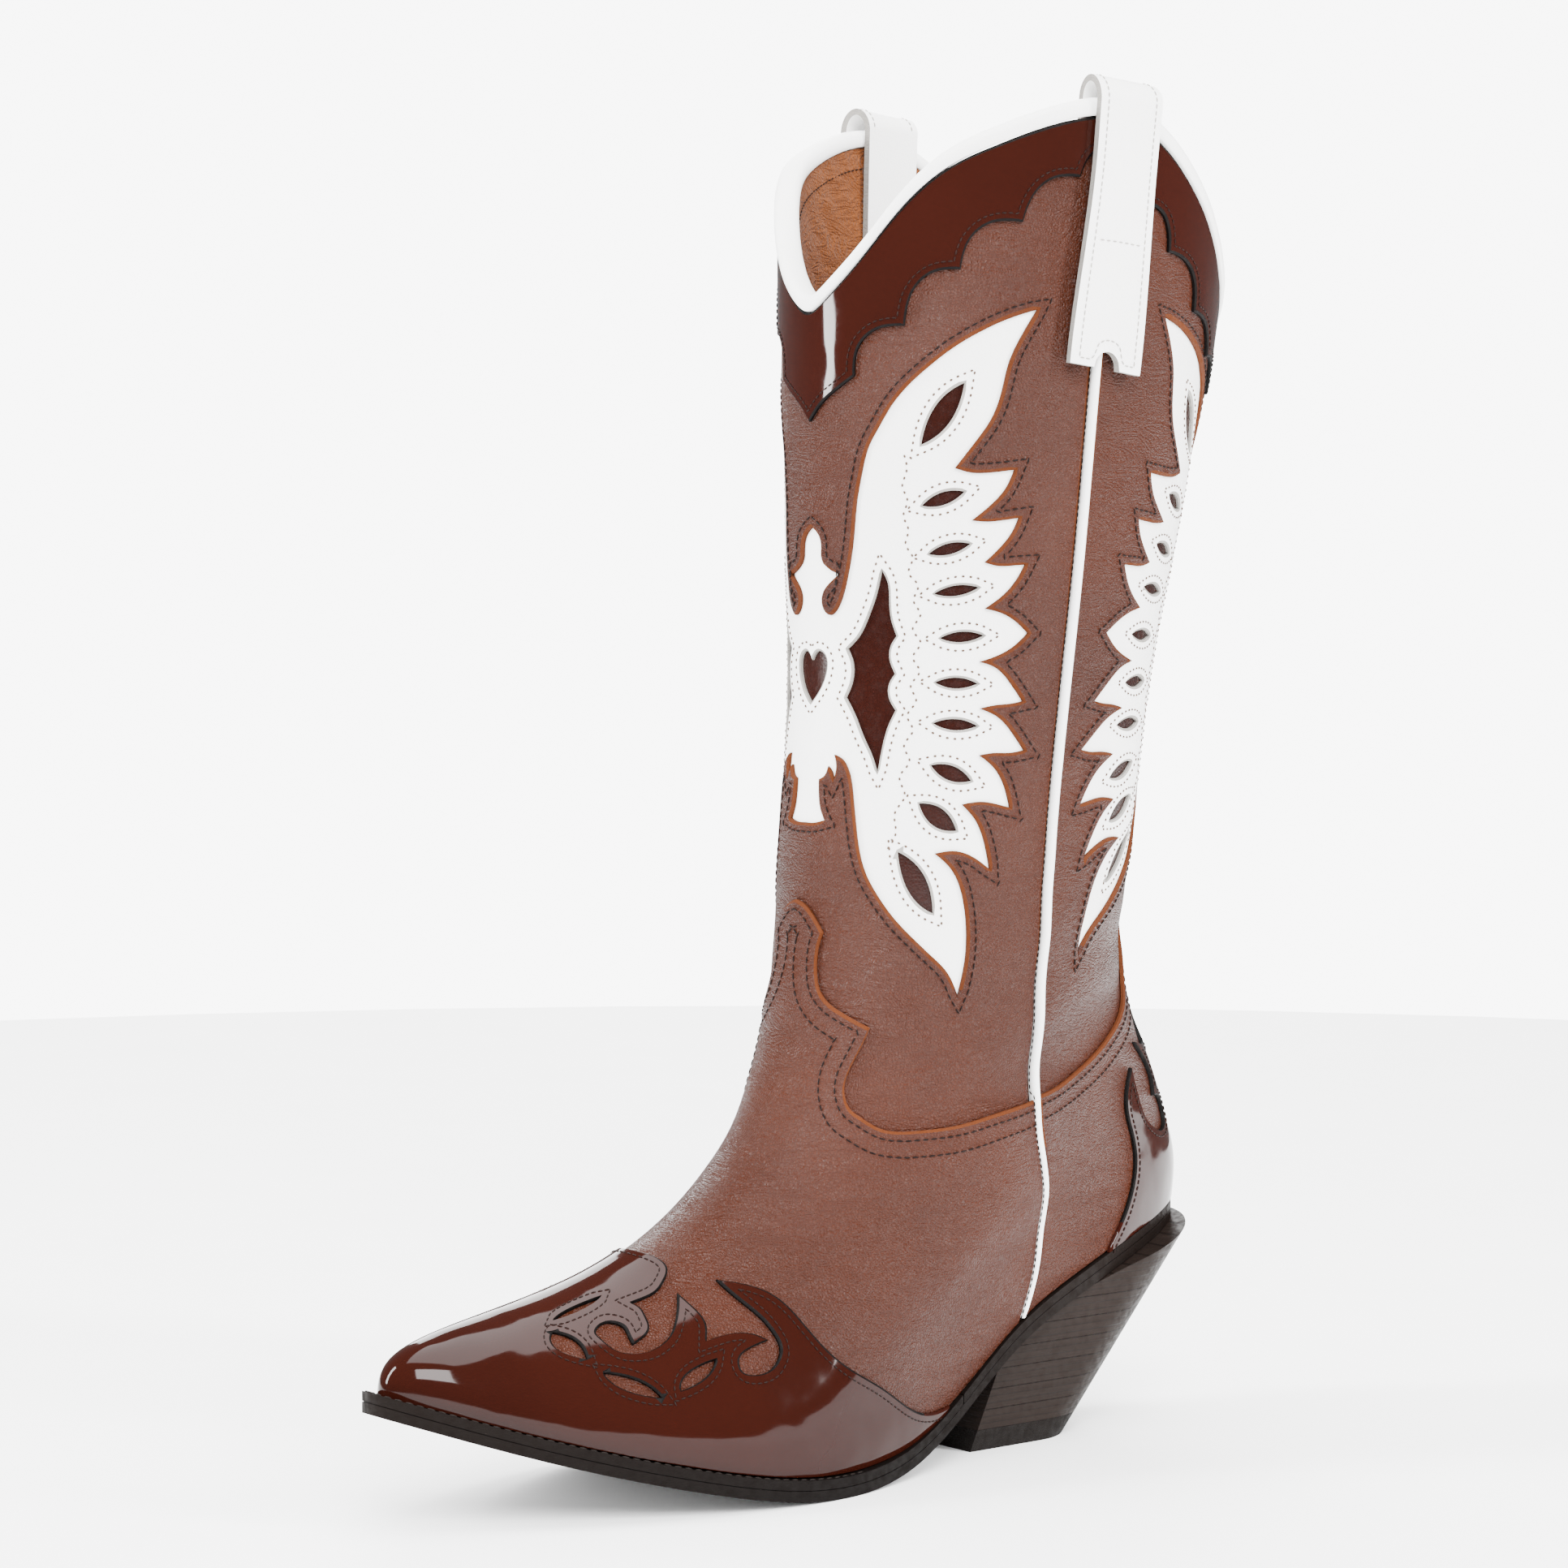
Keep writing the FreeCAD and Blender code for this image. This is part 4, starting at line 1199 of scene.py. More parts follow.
    def inlay(self, fitter: Fitter, half: Half, side: str) -> None:
        """White sheet with its openings, and the dark sheet behind it.

        Args:
            fitter: puts each mesh into the scene as a piece.
            half: front or back half of the shaft.
            side: name of the half, for the pieces' names.
        """
        top = Spline((0, .4, .9), (.80, .862, .892))
        share = np.linspace(-self.inlay_span, self.inlay_span, 120)
        high = top(np.abs(share))
        low = np.full_like(share, self.inlay_low)
        rise = np.linspace(low[0], high[0], 110)[1:-1]
        edge = np.full_like(rise, self.inlay_span)
        loop = np.concatenate([
            np.stack([self.turn(half, share, low), low], 1),
            np.stack([self.turn(half, edge, rise), rise], 1),
            np.stack([self.turn(half, share, high), high], 1)[::-1],
            np.stack([self.turn(half, -edge, rise), rise], 1)[::-1],
        ])
        sheet = cut_sheet([loop] + self.wing.cut_outs(half), SHAFT_CHART, 3.4, -1.25, -2.3, 0.7, 0.35, 0.0)
        fitter.fit(sheet, f"wing_leather_{side}", ("kid_white", "kid_edge"),
                   (f"wing_inlay_{side}",))
        part = np.linspace(0, 1, 60)[None, :]
        columns = np.linspace(-0.9, 0.9, 60)[:, None]
        level = 0.385 + (top(np.abs(columns)) - 0.387) * part
        turn = self.turn(half, columns, level)
        backing = slab(*(FORM.place(turn, level, face) for face in self.backing_faces))
        fitter.fit(backing, f"wing_backing_{side}", ("backing_dark",),
                   (f"inlay_backing_{side}",))

    def lining(self, fitter: Fitter, half: Half, side: str) -> None:
        """Tan lining with slack wrinkles, and the row of its facing under the rim.

        Args:
            fitter: puts each mesh into the scene as a piece.
            half: front or back half of the shaft.
            side: name of the half, for the pieces' names.
        """
        turn, level = self.grid(half, self.lining_span, HEM, (110, 130))
        wave = 2 * np.pi
        slack = 0.35 * np.sin(wave * (46 * level + 2.2 * np.sin(wave * 3 * turn) + 5 * turn))
        slack = slack * (0.5 + 0.5 * np.sin(wave * (9 * turn + 4 * level)))
        slack += 0.5 * np.sin(wave * (7 * level - 4 * turn)) * np.sin(wave * (6 * turn + 2))
        slack *= ramp(level, 0.3, 0.5) * ramp(self.topline[half](0) + 0.11 - level, 0.0, 0.03)
        outer = FORM.place(turn, level, self.lining_faces[0])
        inner = FORM.place(turn, level, self.lining_faces[1] + np.minimum(slack, 0.45))
        fitter.fit(slab(outer, inner), f"shaft_lining_leather_{side}", ("lining_tan",),
                   (f"shaft_lining_{side}",))
        share = np.linspace(-0.99, 0.99, 200)
        line = self.rim(half, share) - self.facing_drop
        turn = self.turn(half, share, line)
        row = FINE_THREAD.along(FORM.place(turn, line, self.facing_row), -FORM.slopes(turn, line)[2])
        fitter.fit(row, f"lining_seam_{side}", ("thread_brown",))


@dataclass
class Collar:
    """Patent collar with a scalloped lower edge, and the white binding over the rim."""

    shaft: Shaft
    front_scallops: tuple[Run, ...] = (
        ((0, 820), (13, 829), (33, 838), (50, 845)), ((50, 845), (52, 858), (65, 868), (91, 871)),
        ((91, 871), (95, 886), (107, 896), (130, 899)), ((130, 899), (134, 911), (146, 920), (171, 922)),
        ((171, 922), (176, 933), (188, 942), (208, 944)), ((208, 944), (213, 953), (222, 958), (229.5, 959)),
    )
    back_scallops: tuple[Run, ...] = (
        ((236.5, 952), (249, 946), (262, 934)), ((262, 934), (277, 929), (284, 920), (286, 912)),
        ((286, 912), (307, 908), (322, 897), (326, 884)), ((326, 884), (346, 880), (359, 871), (364, 862)),
        ((364, 862), (385, 861), (402, 853), (410, 842)), ((410, 842), (430, 843), (446, 837), (454, 828)),
        ((454, 828), (476, 828), (490, 821), (500, 812)),
    )
    binding_profile: tuple = (
        (4.6, 1.5), (4.35, 1.85), (3.2, 2.1), (1.7, 2.05), (0.7, 1.6), (0.15, 0.7), (-0.1, -0.6), (-0.1, -2.2),
        (0.15, -3.6), (0.7, -4.5), (1.7, -5.05), (3.2, -5.2), (4.4, -4.95), (4.65, -4.6), (4.65, -1.5),
    )

    def lower_edge(self, half: Half) -> np.ndarray:
        """Scalloped line across the whole half, turn rising."""
        if half is Half.FRONT:
            right = trace(self.front_scallops, SHAFT_CHART, 1.1)
            return np.concatenate([(right * (-1, 1))[::-1][:-1], right])
        left = trace(self.back_scallops, SHAFT_CHART, 1.1)
        return np.concatenate([left[:-1], (left * (-1, 1) + (1, 0))[::-1]])

    def build(self, fitter: Fitter) -> None:
        """Make collar, stitching and binding on both halves.

        Args:
            fitter: puts each mesh into the scene as a piece.
        """
        for half in Half:
            side = half.name.lower()
            low = self.lower_edge(half)
            span = 1 - self.shaft.seam_gap
            share = np.linspace(-span, span, 150)
            high = self.shaft.rim(half, share) - HEM
            top = np.stack([self.shaft.turn(half, share, high), high], 1)
            right = np.linspace(low[-1], top[-1], 8)[1:-1]
            left = np.linspace(low[0], top[0], 8)[1:-1]
            loop = np.concatenate([low, right, top[::-1], left[::-1]])
            sheet = cut_sheet([loop], SHAFT_CHART, 2.6, 1.3, 0.15, 0.45, 0.4)
            fitter.fit(sheet, f"collar_leather_{side}", ("patent_collar", "patent_edge"),
                       (f"collar_{side}",))
            row = FINE_THREAD.on_form(FORM.shift(low, 2.2), 1.3)
            fitter.fit(row, f"collar_seam_{side}", ("thread_cap",))
            self.binding(fitter, half, side)

    def binding(self, fitter: Fitter, half: Half, side: str) -> None:
        """Rounded strip over the rim: its profile of depth and offset carried along the topline.

        Args:
            fitter: puts each mesh into the scene as a piece.
            half: front or back half of the shaft.
            side: name of the half, for the pieces' names.
        """
        share = np.linspace(-0.999, 0.999, 190)[:, None]
        profile = np.array(self.binding_profile)
        top = self.shaft.rim(half, share)
        level = top - profile[:, 0] * LEVEL_PER_MM
        turn = self.shaft.turn(half, share, top) + 0 * level
        rings = FORM.place(turn, level, profile[:, 1] + 0 * level)
        shape = loft(rings, True)
        fitter.fit(shape, f"rim_binding_{side}", ("kid_white",), (f"topline_binding_{side}",),
                   sharp=60)


@dataclass
class SidePiping:
    """White piping down both side seams, with its row of dark stitches."""

    radius: float = 1.25
    low: float = 0.004
    high: float = 0.864

    def build(self, fitter: Fitter) -> None:
        """Make the piping of both flanks: a half round bead carried along the seam.

        Args:
            fitter: puts each mesh into the scene as a piece.
        """
        for flank in Flank:
            side = flank.name.lower()
            level = np.linspace(self.low, self.high, 320)
            seam = np.stack([FORM.seam(level), level], 1)
            around, _, _ = FORM.slopes(seam[:, 0], seam[:, 1])
            girth = np.linalg.norm(around, axis=1)[:, None]
            angle = np.linspace(-0.12, 1.12, 11) * np.pi
            across = self.radius * np.cos(angle)[None, :]
            out = 0.75 + self.radius * 1.1 * np.sin(angle)[None, :]
            across = np.concatenate([across, [[-0.8, 0.8]]], 1)
            out = np.concatenate([out, [[-1.1, -1.1]]], 1)
            taper = np.clip((level - self.low) / 0.006, 0.35, 1)[:, None] ** 0.5
            turn = flank.value * (seam[:, 0:1] + across * taper / girth)
            rings = FORM.place(turn, level[:, None] + 0 * turn, out + 0 * turn)
            shape = loft(rings, flank is Flank.INNER)
            fitter.fit(shape, f"seam_piping_{side}", ("kid_white",), (f"side_piping_{side}",),
                       sharp=70)
            beside = seam - np.stack([1.75 / girth[:, 0], 0 * level], 1)
            out_row = np.where(beside[:, 1] < 0.31, 1.5, 0.0)
            path = beside * (flank.value, 1)
            row = FINE_THREAD.along(FORM.place(path[:, 0], path[:, 1], out_row),
                                    FORM.slopes(path[:, 0], path[:, 1])[2])
            fitter.fit(row, f"piping_seam_{side}", ("thread_brown",))


@dataclass
class PullStraps:
    """White pull straps: a leg outside and one inside the shaft, joined by an arch over the rim."""

    turn: float = 0.236
    top_level: float = 0.98
    outer_foot: float = 0.850
    inner_foot: float = 0.884
    half_width_top: float = 10.2
    half_width_foot: float = 13.2
    notch_depth: float = 5.2
    rear_drop: float = 1.9
    outer_skin: tuple[float, float, float] = (4.5, -7.3, 7.1)  # offsets of both legs and height of the arch, mm
    inner_skin: tuple[float, float, float] = (2.25, -5.25, 5.2)
    row_columns: tuple[int, int] = (9, 71)  # columns of the rows along the edges
    cross_row: int = 34  # grid row of the seam across the leg
    foot_row: tuple[tuple[int, int], ...] = (
        (9, 2), (14, 2), (20, 2), (24, 3), (28, 5), (34, 5), (40, 5), (46, 5), (52, 5), (56, 3), (60, 2), (66, 2),
        (71, 2),
    )
    swing_low: float = 0.380
    swing_high: float = 0.3885

    def strand(self, flank: Flank, out: float, inside: float, arch: float, width: np.ndarray) -> np.ndarray:
        """Grid (column, row) of one skin: up the outer leg, over in a half ellipse and down the inner leg.

        Args:
            flank: side of the boot.
            out: offset of the outer leg in mm.
            inside: offset of the inner leg in mm.
            arch: height of the arch in mm.
            width: column places across the strap, -1 to 1.

        Returns:
            Points in metres.
        """
        around = np.linalg.norm(FORM.slopes(np.array([self.turn]), np.array([0.93]))[0])
        part = np.linspace(0, 1, 70)[None, :]
        across = width[:, None]
        notch = self.notch_depth * np.sqrt(np.clip(1 - (across / 0.36) ** 2, 0, 1))
        skew = -1.6 * across
        foot = self.outer_foot + skew * LEVEL_PER_MM
        level = foot + (self.top_level - foot) * part + notch * LEVEL_PER_MM * (1 - part) ** 6
        flare = ramp(level, self.top_level - 0.02, self.outer_foot)
        half = (self.half_width_top + (self.half_width_foot - self.half_width_top) * flare) / around
        leg = FORM.place(flank.value * (self.turn - 0.001 * flare + across * half), level, out)
        down = self.inner_foot + (self.top_level - self.inner_foot) * part[:, ::-1]
        inner_turn = flank.value * (self.turn + across * self.half_width_top / around) + 0 * down
        back = FORM.place(inner_turn, down + 0 * inner_turn, inside)
        start, end = leg[:, -1:], back[:, :1]
        theta = np.linspace(0, np.pi, 26)[None, 1:-1, None]
        crest = np.array([0, 0, 1]) * (arch - self.rear_drop * (across + 1) / 2)[:, :, None] * MM
        bend = (start + end) / 2 + np.cos(theta) * (start - end) / 2 + np.sin(theta) * crest
        return np.concatenate([leg, bend, back], 1)

    def build(self, fitter: Fitter) -> None:
        """Make both straps, each one piece with its loop above the rim, and their stitching.

        Args:
            fitter: puts each mesh into the scene as a piece.
        """
        width = np.concatenate([np.linspace(-1, -0.38, 8), np.linspace(-0.36, 0.36, 19), np.linspace(0.38, 1, 8)])
        for flank in Flank:
            side = flank.name.lower()
            outer = self.strand(flank, *self.outer_skin, width)
            inner = self.strand(flank, *self.inner_skin, width)
            if flank is Flank.INNER:
                outer, inner = outer[::-1], inner[::-1]
            strap = fitter.fit(slab(outer, inner, 1), f"pull_strap_leather_{side}", ("kid_white", "kid_edge"),
                               (f"pull_strap_{side}", f"pull_loop_{side}"), body=None)
            self.bend(strap, side)
            rows = fitter.fit(self.stitches(flank), f"strap_seam_{side}", ("thread_white",),
                              body=None)
            self.bend(rows, side)

    def bend(self, piece: bpy.types.Object, side: str) -> None:
        """Bake a strap piece's placement into its mesh; it is not bent."""
        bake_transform(piece)

    def stitches(self, flank: Flank) -> Shape:
        """Rows 3 mm inside both long edges, along the foot, round the notch and across the leg.

        Args:
            flank: side of the boot.

        Returns:
            The rows as one shape.
        """
        skin = self.strand(flank, *self.outer_skin, np.linspace(-1, 1, 81))
        normal = np.cross(np.gradient(skin, axis=0), np.gradient(skin, axis=1))
        normal /= np.linalg.norm(normal, axis=2, keepdims=True) + 1e-12
        normal *= flank.value
        rows = []
        for column in self.row_columns:
            rows.append(FINE_THREAD.along(skin[column, 2:94], normal[column, 2:94]))
        cross = np.linspace(14, 66, 27).astype(int)
        rows.append(FINE_THREAD.along(skin[cross, self.cross_row], normal[cross, self.cross_row]))
        at = np.array(self.foot_row)
        rows.append(FINE_THREAD.along(skin[at[:, 0], at[:, 1]], normal[at[:, 0], at[:, 1]]))
        return merge(rows)


# ---- the foot --------------------------------------------------------------------------------
@dataclass
class Vamp:
    """Vamp with its tongue and heel counter, brown leather over the foot."""

    top_edge: tuple[Run, ...] = (
        ((0, 458), (14, 455), (28, 448), (41, 439)),
        ((41, 439), (37, 430), (40, 416), (53, 404), (77, 395), (108, 385)),
        ((108, 385), (104, 374), (99, 358), (106, 345), (127, 331), (151, 319), (180, 313), (207, 310), (234, 309),
         (269, 304)),
    )
    counter_edge: tuple[Run, ...] = (
        ((276, 304), (307, 295), (344, 292), (380, 298), (409, 307), (428, 320), (440, 337), (449, 360), (459, 390),
         (474, 420), (487, 438), (500, 444)),
    )
    low: float = 0.0012

    def side_line(self, top: float, gap: float, sign: float) -> np.ndarray:
        """Line up the side seam from the welt, a gap in mm away from it."""
        level = np.linspace(self.low, top, 60)
        seam = np.stack([FORM.seam(level), level], 1)
        girth = np.linalg.norm(FORM.slopes(seam[:, 0], level)[0], axis=1)
        return seam + np.stack([sign * gap / girth, 0 * level], 1)

    def loop(self, half: Half) -> tuple[np.ndarray, np.ndarray]:
        """Border of the vamp or counter as a half outline, and its upper edge.

        Args:
            half: front or back half of the shaft.

        Returns:
            The half outline and the upper edge, as turns and levels.
        """
        if half is Half.FRONT:
            edge = trace(self.top_edge, FOOT_CHART, 1.2)
            seam = self.side_line(edge[-1, 1], 1.2, -1)
            edge[-1] = seam[-1]
            base = np.stack([np.linspace(0, seam[0, 0], 150), np.full(150, self.low)], 1)
            return both_sides(np.concatenate([base[:-1], seam[:-1], edge[::-1]])), edge
        edge = trace(self.counter_edge, FOOT_CHART, 1.2)
        seam = self.side_line(edge[0, 1], 1.2, 1)
        edge[0] = seam[-1]
        base = np.stack([np.linspace(0.5, seam[0, 0], 80), np.full(80, self.low)], 1)
        return both_sides(np.concatenate([base[:-1], seam[:-1], edge]), 0.5), edge

    def build(self, fitter: Fitter) -> None:
        """Make vamp and counter with their double rows.

        Args:
            fitter: puts each mesh into the scene as a piece.
        """
        plan = ((Half.FRONT, "vamp_leather", "vamp", 1), (Half.BACK, "counter_leather", "heel_cover", -1))
        for half, name, node, way in plan:
            loop, edge = self.loop(half)
            sheet = cut_sheet([loop], FOOT_CHART, 3.0, 1.5, 0.2, 0.8, 0.55, raw_above=0.25)
            fitter.fit(sheet, name, ("calf_brown", "calf_edge"), (node,))
            rows = []
            for inset in (2.7, 7.6):
                right = FORM.shift(edge, -inset)
                left = right * (-1, 1) if half is Half.FRONT else right * (-1, 1) + (1, 0)
                rows += [SEAM_THREAD.on_form(right, 1.5), SEAM_THREAD.on_form(left, 1.5)]
            fitter.fit(merge(rows), f"{node}_seam", ("thread_brown",))


@dataclass
class Trims:
    """Patent toe cap with flames and openings, and the patent flame on the heel."""

    cap_edge: tuple[Run, ...] = (
        ((280, 7), (272, 18), (256, 46), (236, 80), (216, 104), (203, 120), (186, 143), (170, 163), (152, 180),
         (136, 189), (115, 194)),
        ((115, 194), (132, 180), (147, 167), (162, 152), (173, 138), (181, 124), (184, 112), (183, 101),
         (177, 98), (171, 106), (168, 118), (173, 132)),
        ((173, 132), (163, 138), (155, 137), (149, 128)), ((149, 128), (141, 144), (128, 159), (104, 178)),
        ((104, 178), (117, 160), (128, 140), (133, 124), (132, 112), (125, 107), (114, 112), (104, 120),
         (96, 129), (94, 137), (100, 138), (112, 129), (122, 117)),
        ((122, 117), (121, 130), (110, 147), (98, 158), (88, 163)),
        ((88, 163), (91, 175), (86, 188), (77, 201), (60, 212), (35, 218), (0, 220)),
    )
    openings: tuple = (
        ((62, 166), (66, 132), 5.2), ((78, 119), (112, 95), 5.0), ((124, 84), (152, 68), 4.6),
        ((160, 110), (157, 77), 4.6),
    )
    heel_edge: tuple[Run, ...] = (
        ((369, 7), (378, 32), (386, 63), (391, 102), (387, 149), (382, 187), (385, 216), (396, 238)),
        ((396, 238), (401, 190), (408, 152), (420, 124), (436, 107), (452, 112), (458, 132), (450, 152),
         (434, 163)),
        ((434, 163), (442, 190), (433, 225), (414, 262)),
        ((414, 262), (438, 246), (458, 240), (471, 256), (479, 292), (484, 335), (490, 372), (500, 386)),
    )
    low: float = 0.0015

    def build(self, fitter: Fitter) -> None:
        """Make the toe cap, the heel flame and their rows.

        Args:
            fitter: puts each mesh into the scene as a piece.
        """
        cap = trace(self.cap_edge, FOOT_CHART, 1.1)
        base = np.stack([np.linspace(0, cap[0, 0], 170), np.full(170, self.low)], 1)
        loops = [both_sides(np.concatenate([base[:-1], cap[:-1], [[0, cap[-1, 1]]]]))]
        windows = [lens(a, b, w, FOOT_CHART) for a, b, w in self.openings]
        loops += windows + [w * (-1, 1) for w in windows]
        sheet = cut_sheet(loops, FOOT_CHART, 2.2, 2.8, 1.6, 0.5, 0.45, raw_above=0.03)
        fitter.fit(sheet, "toe_cap_leather", ("patent_cap", "patent_edge"), ("toe_cap",))
        rows = self.rows(cap, -2.3, 0.0)
        for window in loops[1:]:
            rows.append(FINE_THREAD.on_form(WingInlay().outward(window, 2.0), 2.8, closed=True))
        fitter.fit(merge(rows), "toe_cap_seam", ("thread_cap",))
        flame = trace(self.heel_edge, FOOT_CHART, 1.1)
        flame[0, 1] = self.low
        base = np.stack([np.linspace(0.5, flame[0, 0], 60), np.full(60, self.low)], 1)
        loop = both_sides(np.concatenate([base[:-1], flame]), 0.5)
        sheet = cut_sheet([loop], FOOT_CHART, 2.2, 2.8, 1.6, 0.5, 0.45, raw_above=0.03)
        fitter.fit(sheet, "heel_flame_leather", ("patent_cap", "patent_edge"), ("heel_overlay",))
        fitter.fit(merge(self.rows(flame, -2.0, 1.0)), "heel_flame_seam", ("thread_cap",))

    def rows(self, edge: np.ndarray, sideways: float, twice_middle: float) -> list[Shape]:
        """Row beside an edge and its mirror image."""
        right = FORM.shift(edge, -sideways if twice_middle == 0.0 else sideways)
        left = right * (-1, 1) + (twice_middle, 0)
        return [FINE_THREAD.on_form(right, 2.8), FINE_THREAD.on_form(left, 2.8)]


@dataclass
class Welting:
    """Welt stitches round the forepart, and the glue line between the welt and the outsole."""

    back_turn: float = 0.235
    stitch_out: float = 4.3
    glue_out: float = 4.9
    toe_more: float = 1.7
    welt_top: float = -0.2
    glue_top: float = -2.85
    glue_bottom: float = -3.15
    thread: Thread = Thread(pitch=3.0, length=2.2, radius=0.36, proud=0.05)

    def plan(self, turn: np.ndarray, out: float) -> np.ndarray:
        """Feather edge seen from above, moved outwards by a distance in mm and a little more at the toe."""
        out = out + self.toe_more * np.clip(1 - (1 - np.cos(2 * np.pi * turn)) / 0.04, 0, 1)[:, None]
        around = FORM.slopes(turn, 0.0 * turn)[0]
        side = np.stack([around[:, 1], -around[:, 0]], 1)
        side /= np.linalg.norm(side, axis=1, keepdims=True)
        return FORM.surface(turn, 0.0 * turn)[:, :2] + side * out

    def raised(self, plan: np.ndarray, rise: float) -> np.ndarray:
        """Points in metres at the sole's profile plus a rise in mm."""
        height = FORM.sole(plan[..., :1] - FOOTPRINT_SHIFT) + rise
        return np.concatenate([plan, height], -1) * MM

    def build(self, fitter: Fitter) -> None:
        """Lay the row on the welt, and the glue as a thin slab from one side of the forepart to the other.

        Args:
            fitter: puts each mesh into the scene as a piece.
        """
        turn = np.linspace(-self.back_turn, self.back_turn, 900)
        line = self.raised(self.plan(turn, self.stitch_out), self.welt_top)
        normal = np.cross(np.gradient(line, axis=0) * (1, 0, 1), (0.0, 1.0, 0.0))
        normal *= np.where(normal[:, 2:] < 0, -1.0, 1.0)
        normal /= np.linalg.norm(normal, axis=1, keepdims=True) + 1e-12
        fitter.fit(self.thread.along(line, normal), "welt_stitches", ("thread_welt",))
        turn = np.linspace(0.002, self.back_turn, 90)
        share = np.linspace(0, 1, 24)[None, :, None]
        right, left = self.plan(turn, self.glue_out), self.plan(-turn, self.glue_out)
        across = right[:, None] * (1 - share) + left[:, None] * share
        glue = slab(self.raised(across, self.glue_top), self.raised(across, self.glue_bottom))
        fitter.fit(glue, "welt_glue", ("sole_edge",))


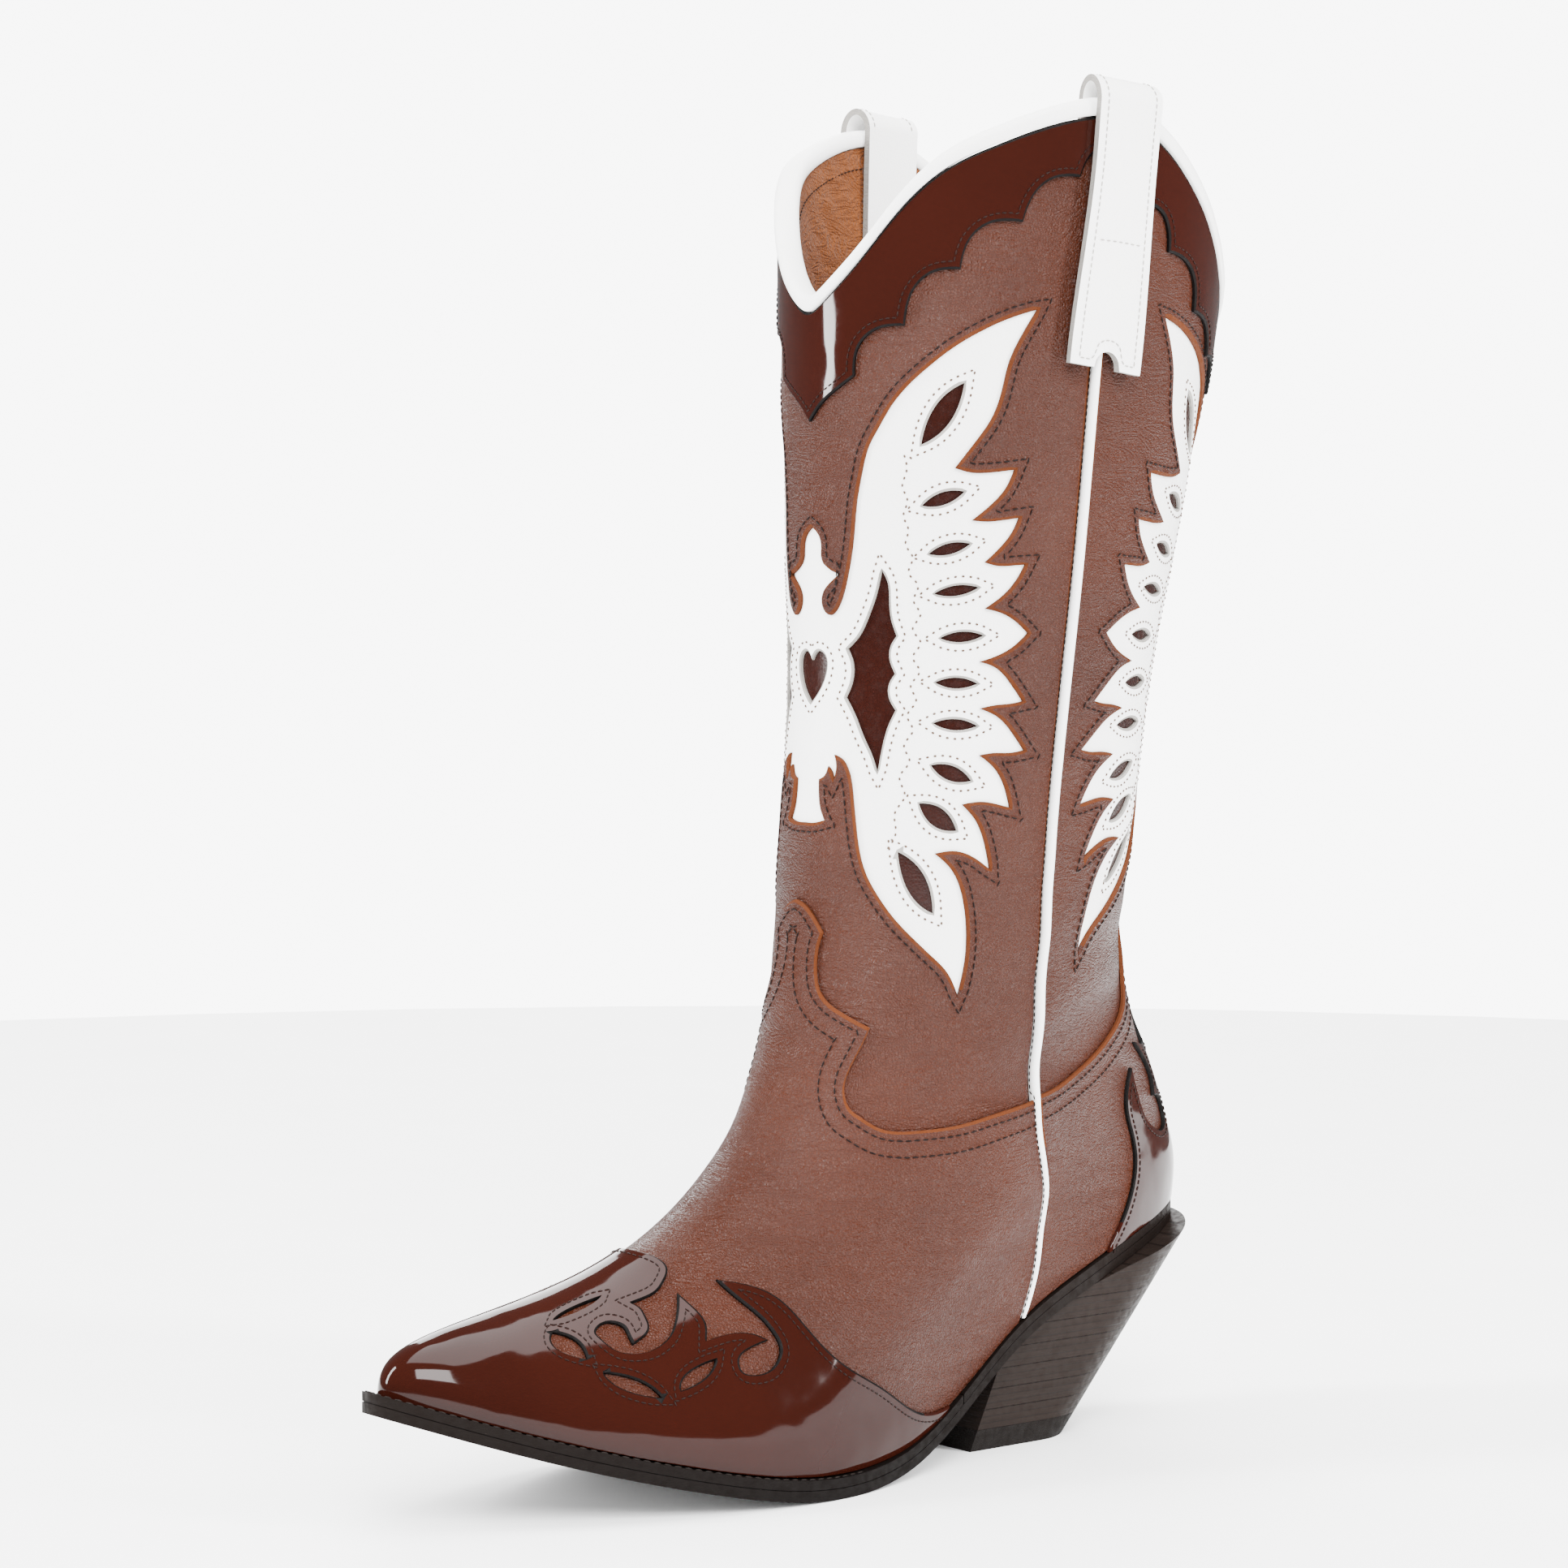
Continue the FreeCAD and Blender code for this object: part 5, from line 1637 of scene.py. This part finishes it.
# ---- the stage -------------------------------------------------------------------------------
@dataclass
class Studio:
    """Plain floor, soft lights and the camera."""

    target: tuple = (-0.06332, 0.0, 0.1925)
    distance: float = 1.2
    azimuth: float = 41.0
    elevation: float = 2.65
    lens: float = 93.56
    aim_left: float = 0.0557
    seen_strength: float = 8.3
    soft_strength: float = 2.4
    mirrored_strength: float = 0.35

    def build(self) -> None:
        """Make floor, world, lights and camera."""
        self.floor()
        self.world()
        self.light("key", (1.0, 1.7, 1.9), (1.0, 1.3), 145)
        self.light("side_left", (1.75, -1.0, 1.1), (0.35, 1.7), 120)
        self.light("side_right", (-1.2, 2.1, 1.2), (0.35, 1.7), 115)
        self.light("top", (-0.1, 0.1, 2.4), (1.6, 1.6), 84)
        self.light("back", (-1.2, -1.8, 1.3), (1.2, 1.4), 72)
        self.camera()

    def floor(self) -> None:
        """Flat round floor of rings and spokes."""
        spin = np.linspace(0, 2 * np.pi, 65)[:-1]
        radius = np.array([0.02, 0.15, 0.4, 0.8, 1.3])[:, None]
        rings = np.stack([radius * np.cos(spin), radius * np.sin(spin), 0 * radius * spin], -1)
        ids = np.arange(rings.shape[0] * 64).reshape(-1, 64)
        beside = np.roll(ids, -1, 1)
        hub = len(ids) * 64
        faces = quads(ids[:-1], ids[1:], beside[1:], beside[:-1])
        fan = np.stack([ids[0], beside[0], np.full(64, hub)], 1)
        verts = np.concatenate([rings.reshape(-1, 3), [[0, 0, 0]]])
        faces = np.concatenate([faces, fan])
        material = bpy.data.materials.new("studio_floor")
        material.use_nodes = True
        bench = NodeBench(material.node_tree)
        shader = material.node_tree.nodes["Principled BSDF"]
        mottle = bench.add("ShaderNodeGroup", node_tree=bpy.data.node_groups["dye_mottle"])
        tone = bench.add("ShaderNodeMix", data_type="RGBA")
        tone.inputs[6].default_value = (0.95, 0.95, 0.95, 1)
        tone.inputs[7].default_value = (0.93, 0.93, 0.93, 1)
        bench.link(mottle.outputs["Cloud"], tone.inputs[0])
        bench.link(tone.outputs[2], shader.inputs["Base Color"])
        shader.inputs["Roughness"].default_value = 0.9
        shape = Shape(verts, faces, np.zeros(len(faces), int))
        shape.object("studio_floor", [material])

    def world(self) -> None:
        """Even white surroundings."""
        world = bpy.data.worlds.new("studio")
        world.use_nodes = True
        bench = NodeBench(world.node_tree)
        background = world.node_tree.nodes["Background"]
        paths = bench.add("ShaderNodeLightPath")
        seen = bench.add("ShaderNodeMix", data_type="FLOAT")
        mirrored = bench.add("ShaderNodeMix", data_type="FLOAT")
        mirrored.inputs[2].default_value = self.soft_strength
        mirrored.inputs[3].default_value = self.mirrored_strength
        seen.inputs[3].default_value = self.seen_strength
        bench.link(paths.outputs["Is Glossy Ray"], mirrored.inputs[0])
        bench.link(mirrored.outputs[0], seen.inputs[2])
        bench.link(paths.outputs["Is Camera Ray"], seen.inputs[0])
        background.inputs["Color"].default_value = (1, 1, 1, 1)
        bench.link(seen.outputs[0], background.inputs["Strength"])
        bpy.context.scene.world = world

    def light(self, name: str, place: tuple, size: tuple, power: float) -> None:
        """Rectangular soft light that faces the boot.

        Args:
            name: name of the lamp.
            place: its centre in metres.
            size: width and height in metres.
            power: watts.
        """
        data = bpy.data.lights.new(name, "AREA")
        data.shape = "RECTANGLE"
        data.size, data.size_y = size
        data.energy = power
        lamp = bpy.data.objects.new(name, data)
        lamp.location = place
        aim = Vector((-0.03, 0, 0.18)) - Vector(place)
        lamp.rotation_euler = aim.to_track_quat("-Z", "Y").to_euler()
        bpy.context.scene.collection.objects.link(lamp)

    def camera(self) -> None:
        """Camera on the target's far side of its view line, turned a little to the left of it."""
        a, e = math.radians(self.azimuth), math.radians(self.elevation)
        back = Vector((math.sin(a) * math.cos(e), math.cos(a) * math.cos(e), math.sin(e)))
        right = Vector((0, 0, 1)).cross(back).normalized()
        target = Vector(self.target)
        data = bpy.data.cameras.new("camera")
        data.lens = self.lens
        data.sensor_width = 36
        camera = bpy.data.objects.new("camera", data)
        camera.location = target + back * self.distance
        aim = target - right * self.aim_left - camera.location
        camera.rotation_euler = aim.to_track_quat("-Z", "Y").to_euler()
        bpy.context.scene.collection.objects.link(camera)
        bpy.context.scene.camera = camera


def dress_nodes(frame: dict, finishes: Wardrobe) -> None:
    """Give every CAD node that stays the finish of its slot.

    Args:
        finishes: the made materials.
    """
    for name, node in frame["nodes"].items():
        finish = finishes[SLOT_FINISH[NODE_SLOTS.get(name, "panel_leather")]]
        node.data.materials.clear()
        node.data.materials.append(finish)


def main() -> None:
    """Build the boot round its frame, from the shaft down, then the stage."""
    logging.basicConfig(level=logging.INFO, format="%(message)s")
    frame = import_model()
    finishes = Wardrobe()
    fitter = Fitter(finishes)
    dress_nodes(frame, finishes)
    shaft = Shaft()
    shaft.build(fitter)
    Collar(shaft).build(fitter)
    SidePiping().build(fitter)
    PullStraps().build(fitter)
    Vamp().build(fitter)
    Trims().build(fitter)
    Welting().build(fitter)
    Studio().build()


if __name__ == "__main__":
    main()
